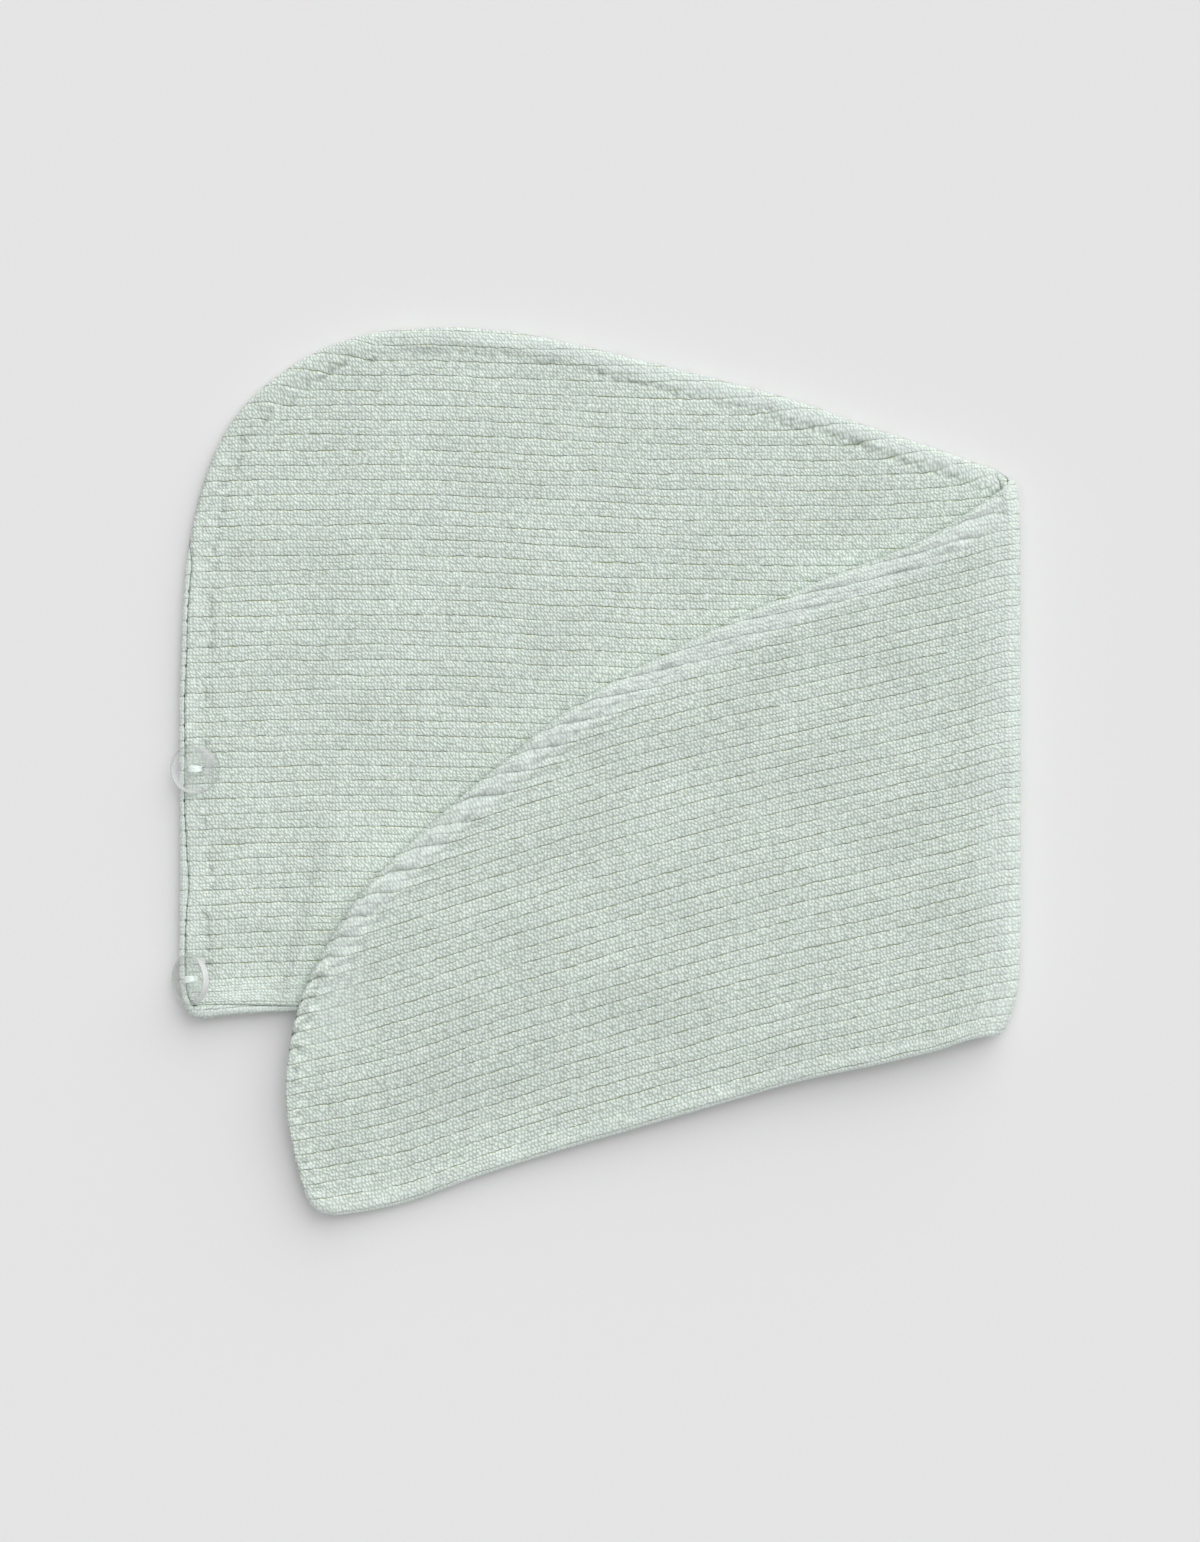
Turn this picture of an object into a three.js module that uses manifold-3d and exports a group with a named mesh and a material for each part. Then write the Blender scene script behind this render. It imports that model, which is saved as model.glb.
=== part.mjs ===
// A hair towel turban, lying folded flat as it is stored: a wide knitted hood whose long tapering tail is folded
// back over it. It is sewn from two matching panels of ribbed looped knit, right side and left side, that are
// joined round the back, over the crown and all round the tail. The bottom edge of the hood is left open for the
// head, and two clear buttons on the back seam take the tail's end.
//
// Units are millimetres. +X runs from the back seam towards the fold, +Y from the mouth towards the crown, +Z up
// from the surface that the towel lies on. Each panel is first laid out flat, in stations along its length and
// rib lines across it, and then folded over: hood, turn and tail are one unbroken cloth.

import * as THREE from "three";
import { mergeVertices } from "three/addons/utils/BufferGeometryUtils.js";
import Module from "manifold-3d";

const wasm = await Module();
wasm.setup();

// Cloth
const PLY = 2.8; // one thickness of the knit, at the top of a rib
const POCKET_GAP = 0.8; // between the two panels, where the hood lies flat
const SEAM_GAP = 0.3; // between the two panels where they are sewn
const STACK = 2 * PLY + POCKET_GAP; // the two panels together
const SEAM_RIDGE = 1.4; // what the turned-in seam allowance adds to the stack
const SEAM_CREST = 2.2; // distance of that ridge from the edge
const SEAM_ALLOWANCE = 9; // distance at which it ends
const SEWN_EDGE_SHARE = 0.3; // share of a ply's thickness left at a sewn edge, after rounding
const HEM_EDGE_SHARE = 0.75; // the same at the blunt hem of the mouth

// Ribs, which run along the towel
const RIB_PITCH = 6;
const RIB_GROOVE_HALF = 1;
const RIB_GROOVE_DEPTH = 0.9;
const HIDDEN_ROW_PITCH = 2 * RIB_PITCH; // row spacing on the faces that are pressed flat or lie inside

// The fold that lays the tail over the hood
const TAIL_REST_GAP = 0.7; // between the hood's top and the tail that lies on it
const FOLD_AXIS_Z = STACK + TAIL_REST_GAP / 2;
const FOLD_OUTER_X = 169.8;
const FOLD_AXIS_X = FOLD_OUTER_X - FOLD_AXIS_Z;
const TURN_LENGTH = 16; // stations that go round the turn
const TURN_END = FOLD_AXIS_X + TURN_LENGTH;
const FOLD_FADE = 30; // length over which the fold edge's wander fades out
const RIDGE_FADE = [5, 22]; // distances from the turn between which the seam ridge comes back

// The mouth, and how far the upper panel's edges stand back from the lower panel's
const MOUTH_END = 125;
const MOUTH_BLEND = 12;
const HEM_STEP = 3.5;
const HEM_STEP_ROWS = 12; // rib lines that are squeezed to make room for it
const BACK_STEP = 4.4;
const BACK_STEP_Y = [68, 104]; // full below the first height, none above the second

// How the tail comes down over the hood's mouth edge to the surface
const DRAPE_START = 1;
const DRAPE_LENGTH = 34;

// One row for each station along the flat towel: the bottom edge's height, the height of the rib line that is
// PIVOT_ROW above it, and how far the ribs above that line are spread.
const PIVOT_ROW = 100;
const LAY = [
  { station: -168, edge: -97.8, pivot: 1.9, spread: 1 },
  { station: -118, edge: -95.4, pivot: 3.0, spread: 1 },
  { station: -78, edge: -95.0, pivot: 3.0, spread: 1 },
  { station: -46, edge: -95.0, pivot: 2.3, spread: 1 },
  { station: -14, edge: -95.5, pivot: 0.9, spread: 1 },
  { station: 18, edge: -96.2, pivot: -0.3, spread: 1 },
  { station: 50, edge: -97.2, pivot: -0.9, spread: 1 },
  { station: 82, edge: -98.8, pivot: -1.1, spread: 1 },
  { station: 114, edge: -101.0, pivot: -0.7, spread: 1 },
  { station: 146, edge: -103.6, pivot: 0.9, spread: 1 },
  { station: 162, edge: -105.0, pivot: 2.5, spread: 1 },
  { station: 179, edge: -105.9, pivot: 1.5, spread: 1 },
  { station: 196, edge: -109.2, pivot: -3.2, spread: 1 },
  { station: 228, edge: -116.8, pivot: -10.9, spread: 1.005 },
  { station: 260, edge: -123.6, pivot: -17.8, spread: 1.01 },
  { station: 292, edge: -132.8, pivot: -25.4, spread: 1.025 },
  { station: 324, edge: -142.2, pivot: -34.3, spread: 1.04 },
  { station: 356, edge: -151.6, pivot: -43.8, spread: 1.045 },
  { station: 388, edge: -161.8, pivot: -53.6, spread: 1.045 },
  { station: 420, edge: -173.3, pivot: -63.9, spread: 1.045 },
  { station: 448, edge: -178.0, pivot: -73.0, spread: 1.04 },
  { station: 468, edge: -179.6, pivot: -79.0, spread: 1.04 },
];

// The back seam, from the nape corner up and over to the top of the crown
const BACK_EDGE = [
  { x: -157.0, y: -97.2 },
  { x: -162.6, y: -94.6 },
  { x: -166.4, y: -88.0 },
  { x: -167.2, y: -60.0 },
  { x: -167.0, y: -20.0 },
  { x: -167.2, y: 20.0 },
  { x: -166.6, y: 48.0 },
  { x: -164.6, y: 82.0 },
  { x: -161.6, y: 100.6 },
  { x: -156.6, y: 118.6 },
  { x: -150.0, y: 134.2 },
  { x: -138.0, y: 150.0 },
  { x: -118.8, y: 164.8 },
  { x: -102.0, y: 172.4 },
  { x: -84.0, y: 176.8 },
  { x: -54.4, y: 178.2 },
];

// The crown seam, from the top of the crown down to the fold
const CROWN_EDGE = [
  { x: -54.4, y: 178.2 },
  { x: -30.4, y: 175.8 },
  { x: -6.4, y: 170.8 },
  { x: 33.6, y: 161.0 },
  { x: 81.6, y: 148.2 },
  { x: 105.6, y: 139.6 },
  { x: 129.6, y: 131.6 },
  { x: 153.6, y: 123.8 },
  { x: 162.5, y: 121.2 },
];

// The same seam along the tail as it lies, from the fold down to the tip and round its end
const TAIL_EDGE = [
  { x: 162.5, y: 112.4 },
  { x: 150.0, y: 104.4 },
  { x: 129.6, y: 92.2 },
  { x: 92.8, y: 77.6 },
  { x: 55.6, y: 61.2 },
  { x: 11.2, y: 38.6 },
  { x: -14.4, y: 22.6 },
  { x: -37.2, y: 3.8 },
  { x: -56.8, y: -12.4 },
  { x: -76.4, y: -30.4 },
  { x: -93.6, y: -48.4 },
  { x: -106.4, y: -67.4 },
  { x: -116.0, y: -86.0 },
  { x: -122.0, y: -107.4 },
  { x: -124.0, y: -131.4 },
  { x: -121.8, y: -149.0 },
  { x: -117.4, y: -166.4 },
  { x: -113.6, y: -174.6 },
  { x: -106.4, y: -178.0 },
];

// The outer edge of the fold, seen from above: straight, and drawn in at its two ends
const FOLD_EDGE = [
  { y: -112, x: 161.6 },
  { y: -105, x: 163.0 },
  { y: -98, x: 165.6 },
  { y: -90, x: 168.2 },
  { y: -80, x: 169.4 },
  { y: -60, x: 169.8 },
  { y: 80, x: 169.8 },
  { y: 100, x: 169.6 },
  { y: 110, x: 169.0 },
  { y: 118, x: 167.4 },
];

// Stations at which the cloth is bent or measured, away from its edges
const HOOD_STATIONS = [-140, -100, -60, -20, 20, 60, 100, 135];
const BEFORE_TURN = 150;
const TURN_START = 158;
const TURN_STEPS = 6;
const TAIL_STATIONS = [186, 200, 235, 270, 305, 340, 375, 410, 440];
const EDGE_STEPS = [0, SEAM_CREST, SEAM_ALLOWANCE];
const STATION_CLEARANCE = 5; // no station lies closer than this to a row's last edge step
const EDGE_SEARCH_STEP = 0.5;
const TOP_ROW_BELOW_CROWN = 0.4;

// Buttons
const BUTTON = { radius: 10.1, thickness: 2.8, rim: 1.6, dish: 0.7, bevel: 0.5, sides: 28 };
const HOLE = { radius: 1.1, spread: 2.9, sides: 8 }; // spread is from the button's centre
const THREAD = { radius: 0.7, proud: 0.55, tail: 0.5, sides: 8 };
const UPPER_BUTTON = { x: -159.6, y: 1.0, z: 7.5, tilt: 15 };
const LOWER_BUTTON = { x: -161.0, y: -83.0, z: 9.6, tilt: 44 };

// Colours
const TOWEL_GREEN = 0xc9d8cd;
const CLEAR_PLASTIC = 0xe6ebe8;
const THREAD_WHITE = 0xe2f2ec;

const clamp01 = (t) => Math.min(1, Math.max(0, t));
const smooth = (t) => clamp01(t) ** 2 * (3 - 2 * clamp01(t));

// The value of a table's column at a place along its key, on a cubic whose slopes come from the neighbouring rows.
function readTable(table, key, column, at) {
  const last = table.length - 1;
  if (at <= table[0][key]) return table[0][column];
  if (at >= table[last][key]) return table[last][column];
  const i = table.findIndex((row) => row[key] > at) - 1;
  const slope = (j) => {
    const [a, b] = [table[Math.max(0, j - 1)], table[Math.min(last, j + 1)]];
    return (b[column] - a[column]) / (b[key] - a[key]);
  };
  const [from, to] = [table[i], table[i + 1]];
  const width = to[key] - from[key];
  const t = (at - from[key]) / width;
  return (
    from[column] * (1 + 2 * t) * (1 - t) ** 2 +
    to[column] * t * t * (3 - 2 * t) +
    width * (slope(i) * t * (1 - t) ** 2 - slope(i + 1) * t * t * (1 - t))
  );
}

// How far the upper panel's hem stands back from the lower panel's at a station.
function hemStep(side, station) {
  return side.isUpper ? HEM_STEP * smooth((MOUTH_END - station) / MOUTH_BLEND) : 0;
}

// Height of a rib line at a station, on the flat towel.
function lineHeight(side, station, row) {
  const edge = readTable(LAY, "station", "edge", station);
  const pivot = readTable(LAY, "station", "pivot", station);
  const spread = readTable(LAY, "station", "spread", station);
  const squeeze = hemStep(side, station) * clamp01(1 - row / HEM_STEP_ROWS);
  if (row > PIVOT_ROW) return pivot + (row - PIVOT_ROW) * spread;
  return edge + (row / PIVOT_ROW) * (pivot - edge) + squeeze;
}

// The rib line that passes through a point of the flat towel.
function lineAt(side, { station, y }) {
  let [low, high] = [-PIVOT_ROW, 4 * PIVOT_ROW];
  while (high - low > 1e-4) {
    const middle = (low + high) / 2;
    if (lineHeight(side, station, middle) < y) low = middle;
    else high = middle;
  }
  return low;
}

// Points along a smooth curve through an edge table, in stations and heights.
function edgeCurve(table, toStation) {
  const points = table.map(({ x, y }) => new THREE.Vector3(toStation(x), y, 0));
  const curve = new THREE.CatmullRomCurve3(points, false, "centripetal");
  return curve.getPoints(6 * table.length).map((p) => ({ station: p.x, y: p.y }));
}

const tailStation = (x) => 2 * FOLD_AXIS_X + TURN_LENGTH - x;

// The two side edges and the bottom edge of one panel, each as points in the order of their rib lines.
function panelEdges(isUpper) {
  const side = { isUpper };
  const stepIn = (p) => {
    const share = smooth((BACK_STEP_Y[1] - p.y) / (BACK_STEP_Y[1] - BACK_STEP_Y[0]));
    return { station: p.station + (isUpper ? BACK_STEP * share : 0), y: p.y };
  };
  const back = edgeCurve(BACK_EDGE, (x) => x).map(stepIn);
  const tail = edgeCurve(TAIL_EDGE, tailStation).reverse();
  const crown = edgeCurve(CROWN_EDGE, (x) => x).reverse();
  const withLines = (points) => points.map((p) => ({ ...p, row: lineAt(side, p) }));
  side.left = withLines(back);
  side.right = withLines([...tail, ...crown]);
  side.left[0].row = side.right[0].row = 0;
  side.bottom = LAY.map(({ station }) => ({ station, y: lineHeight(side, station, 0) }));
  return side;
}

// Where a rib line meets a side edge.
function crossing(edge, row) {
  const i = Math.max(1, edge.findIndex((p) => p.row >= row));
  const [a, b] = [edge[i - 1], edge[i]];
  return a.station + ((row - a.row) / (b.row - a.row)) * (b.station - a.station);
}

// Distance from a point of the flat towel to a line of points.
function distanceTo(points, station, y) {
  let nearest = Infinity;
  for (let i = 1; i < points.length; i++) {
    const [a, b] = [points[i - 1], points[i]];
    const [dx, dy] = [b.station - a.station, b.y - a.y];
    const along = clamp01(((station - a.station) * dx + (y - a.y) * dy) / (dx * dx + dy * dy));
    nearest = Math.min(nearest, Math.hypot(station - a.station - along * dx, y - a.y - along * dy));
  }
  return nearest;
}

const upper = panelEdges(true);
const lower = panelEdges(false);
const mouth = lower.bottom.filter((p) => p.station <= MOUTH_END);
const tailBottom = lower.bottom.filter((p) => p.station >= MOUTH_END);
const crownRow = Math.max(...lower.left.map((p) => p.row));

// Depth of the groove between ribs at a rib line: a narrow V at every pitch.
function grooveDepth(row) {
  const away = Math.abs(row - RIB_PITCH * Math.round(row / RIB_PITCH));
  return row < RIB_PITCH / 2 ? 0 : RIB_GROOVE_DEPTH * clamp01(1 - away / RIB_GROOVE_HALF);
}

// Layer heights in the stack at a point of the flat towel, from 0 at the lower panel's outside to STACK at the
// upper panel's outside. The seam ridge lifts whichever face is free: the upper one in the hood, and the lower
// panel's in the tail, where the stack lies upside down.
function layers(station, row, y) {
  const sewnEdge = (panel) => Math.min(distanceTo(panel.left, station, y), distanceTo(panel.right, station, y));
  const sewn = Math.min(sewnEdge(lower), distanceTo(tailBottom, station, y));
  const open = distanceTo(mouth, station, y);
  const openUpper = open - hemStep(upper, station);
  const sewnUpper = Math.min(sewnEdge(upper), distanceTo(tailBottom, station, y));
  const fromTurn = Math.max(FOLD_AXIS_X - station, station - TURN_END, 0);
  const ridgeShape = sewn < SEAM_CREST
    ? sewn / SEAM_CREST
    : clamp01((SEAM_ALLOWANCE - sewn) / (SEAM_ALLOWANCE - SEAM_CREST));
  const awayFromTurn = smooth((fromTurn - RIDGE_FADE[0]) / (RIDGE_FADE[1] - RIDGE_FADE[0]));
  const ridge = SEAM_RIDGE * ridgeShape * awayFromTurn;
  const middle = STACK / 2 + (ridge / 2) * (station < FOLD_AXIS_X ? 1 : -1);
  const half = STACK / 2 + ridge / 2;
  const closing = clamp01((sewn - SEAM_CREST) / (SEAM_ALLOWANCE - SEAM_CREST));
  const gap = (SEAM_GAP + (POCKET_GAP - SEAM_GAP) * closing) / 2;
  const rounded = (sewnBy, openBy) => {
    const atSeam = SEWN_EDGE_SHARE + (1 - SEWN_EDGE_SHARE) * clamp01(sewnBy / SEAM_CREST);
    const atHem = HEM_EDGE_SHARE + (1 - HEM_EDGE_SHARE) * clamp01(openBy / SEAM_CREST);
    return Math.min(atSeam, atHem);
  };
  const upperPly = (half - gap) * rounded(sewnUpper, openUpper);
  const lowerPly = (half - gap) * rounded(sewn, open);
  const upperGroove = station <= BEFORE_TURN ? grooveDepth(row) : 0;
  const lowerGroove = station >= TURN_START ? grooveDepth(row) : 0;
  return {
    upperOuter: middle + gap + upperPly - upperGroove,
    upperInner: middle + gap,
    lowerInner: middle - gap,
    lowerOuter: middle - gap - lowerPly + lowerGroove,
  };
}

// How far the tail has come down at a place seen from above.
function drapeDrop(x, y) {
  const beyondMouth = readTable(LAY, "station", "edge", x) - y;
  return (STACK + TAIL_REST_GAP) * smooth((beyondMouth - DRAPE_START) / DRAPE_LENGTH);
}

// Folds a point of the flat towel, at a layer height, into its place.
function fold(station, y, layer) {
  const wander = readTable(FOLD_EDGE, "y", "x", y) - FOLD_OUTER_X;
  const radius = FOLD_AXIS_Z - layer;
  if (station <= FOLD_AXIS_X) {
    const near = smooth((station - FOLD_AXIS_X + FOLD_FADE) / FOLD_FADE);
    return [station + wander * near, y, layer];
  }
  if (station <= TURN_END) {
    const angle = (Math.PI * (station - FOLD_AXIS_X)) / TURN_LENGTH;
    return [FOLD_AXIS_X + wander + radius * Math.sin(angle), y, FOLD_AXIS_Z - radius * Math.cos(angle)];
  }
  const near = smooth((TURN_END + FOLD_FADE - station) / FOLD_FADE);
  const x = FOLD_AXIS_X + TURN_END - station + wander * near;
  return [x, y, FOLD_AXIS_Z + radius - drapeDrop(x, y)];
}

// The stations of one rib line of a panel, from its left edge to its right, each with a sorting key: edge steps
// keep the same key on every line, so that neighbouring lines are joined step to step and station to station.
function lineStations(panel, row, stations) {
  const [start, end] = [crossing(panel.left, row), crossing(panel.right, row)];
  const stepFrom = (edge, from, direction, step) => {
    for (let s = from; (end - s) * (s - start) >= 0; s += direction * EDGE_SEARCH_STEP)
      if (distanceTo(edge, s, lineHeight(panel, s, row)) >= step) return s;
    return null;
  };
  const found = (edge, from, direction) =>
    EDGE_STEPS.map((step) => ({ step, station: step ? stepFrom(edge, from, direction, step) : from }));
  const centre = (start + end) / 2;
  const lefts = found(panel.left, start, 1).filter((p) => p.station !== null && p.station <= centre);
  const clearOfTurn = (p) => p.step === 0 || end < FOLD_AXIS_X || p.station > TURN_END;
  const rights = found(panel.right, end, -1).filter((p) => p.station !== null && p.station > centre && clearOfTurn(p));
  const [first, last] = [lefts.at(-1).station, rights.at(-1).station];
  const inside = stations.filter((s) => s > first + STATION_CLEARANCE && s < last - STATION_CLEARANCE);
  return [
    ...lefts.map((p) => ({ station: p.station, key: -1e6 + p.step })),
    ...inside.map((s) => ({ station: s, key: s })),
    ...rights.reverse().map((p) => ({ station: p.station, key: 1e6 - p.step })),
  ];
}

// Collects the triangles of one panel. A vertex is shared by everything that asks for the same place and face.
class PanelMesh {
  constructor(panel, outerLayer, innerLayer) {
    Object.assign(this, { panel, outerLayer, innerLayer, positions: [], triangles: [], known: new Map() });
  }

  // The vertices of one rib line on one face.
  line(face, row, stations) {
    return lineStations(this.panel, row, stations).map(({ station, key }) => ({
      key,
      row,
      station,
      index: this.vertex(face, row, station),
    }));
  }

  vertex(face, row, station) {
    const name = `${face} ${row} ${station.toFixed(5)}`;
    if (!this.known.has(name)) {
      const y = lineHeight(this.panel, station, row);
      const layer = layers(station, row, y)[face === "outer" ? this.outerLayer : this.innerLayer];
      this.known.set(name, this.positions.length / 3);
      this.positions.push(...fold(station, y, layer));
    }
    return this.known.get(name);
  }

  // Triangles between two lists of vertices that run the same way, joined where their keys agree. Seen with the
  // first list below the second and both running right, they face the viewer unless turned.
  zip(below, above, turned, key = "key") {
    let [i, j] = [0, 0];
    const add = (a, b, c) => this.triangles.push(turned ? [a, c, b] : [a, b, c]);
    while (i < below.length - 1 || j < above.length - 1) {
      const [p, q] = [below[i], above[j]];
      const nextBelow = i < below.length - 1 ? below[i + 1][key] : Infinity;
      const nextAbove = j < above.length - 1 ? above[j + 1][key] : Infinity;
      if (nextBelow <= nextAbove) add(p.index, below[++i].index, q.index);
      else add(p.index, above[++j].index, q.index);
    }
  }

  geometry() {
    const made = new THREE.BufferGeometry();
    made.setAttribute("position", new THREE.Float32BufferAttribute(this.positions, 3));
    made.setIndex(this.triangles.flat());
    const plain = made.toNonIndexed();
    plain.computeVertexNormals();
    return plain;
  }
}

const turnStations = Array.from({ length: TURN_STEPS + 1 }, (_, i) => FOLD_AXIS_X + (TURN_LENGTH * i) / TURN_STEPS);
const allStations = [...HOOD_STATIONS, BEFORE_TURN, TURN_START, ...turnStations, ...TAIL_STATIONS];
const topRow = crownRow - TOP_ROW_BELOW_CROWN;
const cornerRow = HIDDEN_ROW_PITCH * Math.floor(crossingRowAtTurn() / HIDDEN_ROW_PITCH);

// The rib line on which the seam goes round the fold.
function crossingRowAtTurn() {
  return lineAt(lower, { station: FOLD_AXIS_X, y: CROWN_EDGE.at(-1).y });
}

// Rib lines at a spacing from the bottom edge to the top of the crown.
function rowsEvery(pitch, offsets) {
  const rows = [];
  for (let groove = 0; groove < topRow; groove += pitch) rows.push(...offsets.map((offset) => groove + offset));
  return [...rows.filter((row) => row < topRow - RIB_GROOVE_HALF / 2), topRow];
}

const ribRows = rowsEvery(RIB_PITCH, [0, RIB_GROOVE_HALF, RIB_PITCH - RIB_GROOVE_HALF]);
const plainRows = rowsEvery(HIDDEN_ROW_PITCH, [0]);

// One panel as a closed cloth. Its free face is ribbed: the hood's top for the upper panel, and the turn and the
// tail's top for the lower one. The faces that are pressed flat or lie inside have plain, wider rows. The two
// kinds meet at a station, where every ribbed row ends on the plain strip.
function clothPanel(panel, ribbedSide, join) {
  const [outer, inner] = panel.isUpper ? ["upperOuter", "upperInner"] : ["lowerOuter", "lowerInner"];
  const mesh = new PanelMesh(panel, outer, inner);
  const down = !panel.isUpper;
  const ribbedPart = (points) => points.filter((p) => (ribbedSide === "hood" ? p.station <= join : p.station >= join));
  const plainPart = (points) => points.filter((p) => (ribbedSide === "hood" ? p.station >= join : p.station <= join));
  const allRibbed = (row) => row >= cornerRow && ribbedSide === "hood";
  const allPlain = (row) => row >= cornerRow && ribbedSide === "tail";
  const outerLine = (row) => mesh.line("outer", row, allStations);

  ribRows.slice(1).forEach((row, i) => {
    const [below, above] = [outerLine(ribRows[i]), outerLine(row)];
    if (allRibbed(ribRows[i])) mesh.zip(below, above, down);
    else if (!allPlain(ribRows[i])) mesh.zip(ribbedPart(below), ribbedPart(above), down);
  });

  plainRows.slice(1).forEach((row, i) => {
    const [below, above] = [outerLine(plainRows[i]), outerLine(row)];
    if (allPlain(plainRows[i])) mesh.zip(below, above, down);
    if (allRibbed(plainRows[i]) || allPlain(plainRows[i])) return;
    const between = ribRows.filter((r) => r > plainRows[i] && r < row);
    const [start, finish] = [plainPart(below), plainPart(above)];
    const joinKey = ribbedSide === "hood" ? start[1].key : join;
    const ends = between.map((r) => ({ key: joinKey, index: mesh.vertex("outer", r, join) }));
    if (ribbedSide === "hood") {
      const [corner, ...rest] = finish;
      mesh.zip(start, [...ends, { ...corner, key: joinKey }, ...rest], down);
    } else mesh.zip([...start, ...ends], finish, down);
  });

  const innerLines = plainRows.map((row) => mesh.line("inner", row, allStations));
  innerLines.slice(1).forEach((above, i) => mesh.zip(innerLines[i], above, !down));

  const edgeRows = (isLeft) => {
    const fineHere = (row) => (ribbedSide === "hood" ? isLeft || row >= cornerRow : !isLeft && row <= cornerRow);
    return [...new Set([...ribRows.filter(fineHere), ...plainRows])].sort((a, b) => a - b);
  };
  const ends = (isLeft, lines) => lines.map((line) => line.at(isLeft ? 0 : -1));
  const wall = (isLeft) =>
    mesh.zip(ends(isLeft, edgeRows(isLeft).map(outerLine)), ends(isLeft, innerLines), isLeft === down, "row");
  wall(true);
  wall(false);
  mesh.zip(innerLines[0], outerLine(0), down);
  mesh.zip(innerLines.at(-1), outerLine(topRow), !down);
  return mesh.geometry();
}

// A closed geometry as a solid, for cutting and joining.
function solidOf(geometry, matrix = new THREE.Matrix4()) {
  const bare = geometry.clone().applyMatrix4(matrix);
  bare.deleteAttribute("normal");
  bare.deleteAttribute("uv");
  const merged = mergeVertices(bare, 1e-4);
  return new wasm.Manifold(
    new wasm.Mesh({
      numProp: 3,
      vertProperties: new Float32Array(merged.attributes.position.array),
      triVerts: new Uint32Array(merged.index.array),
    }),
  );
}

function geometryOf(solid) {
  const { vertProperties, triVerts } = solid.getMesh();
  const made = new THREE.BufferGeometry();
  made.setAttribute("position", new THREE.BufferAttribute(vertProperties, 3));
  made.setIndex(new THREE.BufferAttribute(triVerts, 1));
  const plain = made.toNonIndexed();
  plain.computeVertexNormals();
  return plain;
}

const upright = new THREE.Matrix4().makeRotationX(Math.PI / 2);
const movedTo = (x, y, z) => new THREE.Matrix4().makeTranslation(x, y, z);

// A round button with a raised rim and a dished middle, its underside on z = 0, drilled with two holes.
function buttonGeometry() {
  const { radius, thickness, rim, dish, bevel, sides } = BUTTON;
  const profile = [
    [0, 0],
    [radius - 2 * bevel, 0],
    [radius, 2 * bevel],
    [radius, thickness - bevel],
    [radius - bevel, thickness],
    [radius - rim, thickness],
    [radius - 2 * rim, thickness - dish],
    [0, thickness - dish],
  ];
  const disc = new THREE.LatheGeometry(profile.map(([r, z]) => new THREE.Vector2(r, z)), sides);
  let solid = solidOf(disc, upright);
  for (const direction of [-1, 1]) {
    const drill = new THREE.CylinderGeometry(HOLE.radius, HOLE.radius, 3 * thickness, HOLE.sides);
    solid = solid.subtract(solidOf(drill, movedTo(direction * HOLE.spread, 0, 0).multiply(upright)));
  }
  return geometryOf(solid);
}

// The sewing thread: a bar across the two holes, with a leg down through each to the cloth.
function threadGeometry() {
  const { radius, proud, tail, sides } = THREAD;
  const barHeight = BUTTON.thickness - BUTTON.dish + proud + radius / 2;
  const round = (length) => new THREE.CylinderGeometry(radius, radius, length, sides);
  const alongX = new THREE.Matrix4().makeRotationZ(Math.PI / 2);
  const legLength = barHeight + tail;
  let solid = solidOf(round(2 * (HOLE.spread + radius / 2)), movedTo(0, 0, barHeight).multiply(alongX));
  for (const direction of [-1, 1]) {
    const place = movedTo(direction * HOLE.spread, 0, barHeight - legLength / 2).multiply(upright);
    solid = solid.add(solidOf(round(legLength), place));
  }
  return geometryOf(solid);
}

const towelCloth = new THREE.MeshStandardMaterial({ color: TOWEL_GREEN, roughness: 0.95, metalness: 0 });
const clearPlastic = new THREE.MeshStandardMaterial({
  color: CLEAR_PLASTIC,
  roughness: 0.12,
  metalness: 0,
  transparent: true,
  opacity: 0.35,
});
const whiteThread = new THREE.MeshStandardMaterial({ color: THREAD_WHITE, roughness: 0.7, metalness: 0 });

function named(name, geometry, material) {
  const mesh = new THREE.Mesh(geometry, material);
  mesh.name = name;
  return mesh;
}

// A button and its thread, leaning with its left side down over the back edge.
function sewnButton(name, { x, y, z, tilt }) {
  const group = new THREE.Group();
  group.add(named(name, buttonGeometry(), clearPlastic));
  group.add(named(`${name}_thread`, threadGeometry(), whiteThread));
  group.position.set(x, y, z);
  group.rotation.y = -THREE.MathUtils.degToRad(tilt);
  return group;
}

const towel = new THREE.Group();
towel.add(named("right_side_panel", clothPanel(upper, "hood", BEFORE_TURN), towelCloth));
towel.add(named("left_side_panel", clothPanel(lower, "tail", TURN_START), towelCloth));
towel.add(sewnButton("upper_button", UPPER_BUTTON));
towel.add(sewnButton("lower_button", LOWER_BUTTON));

export default towel;
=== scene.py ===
"""A hair towel turban, lying folded flat, with its looks: ribbed looped cloth, clear buttons and thread.

The cloth is laid out flat first, in stations along the towel and rib lines across it, as it was cut and
sewn, and is then folded over once. Each of the two panels is one closed mesh, made of a lattice that follows
the ribs and of rings that follow its outline. Sizes are in millimetres up to the last step, which makes the
meshes in metres.
"""

import logging
import math
from dataclasses import dataclass, field
from enum import Enum
from typing import NamedTuple

import bpy
import numpy as np
from mathutils import Matrix


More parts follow.
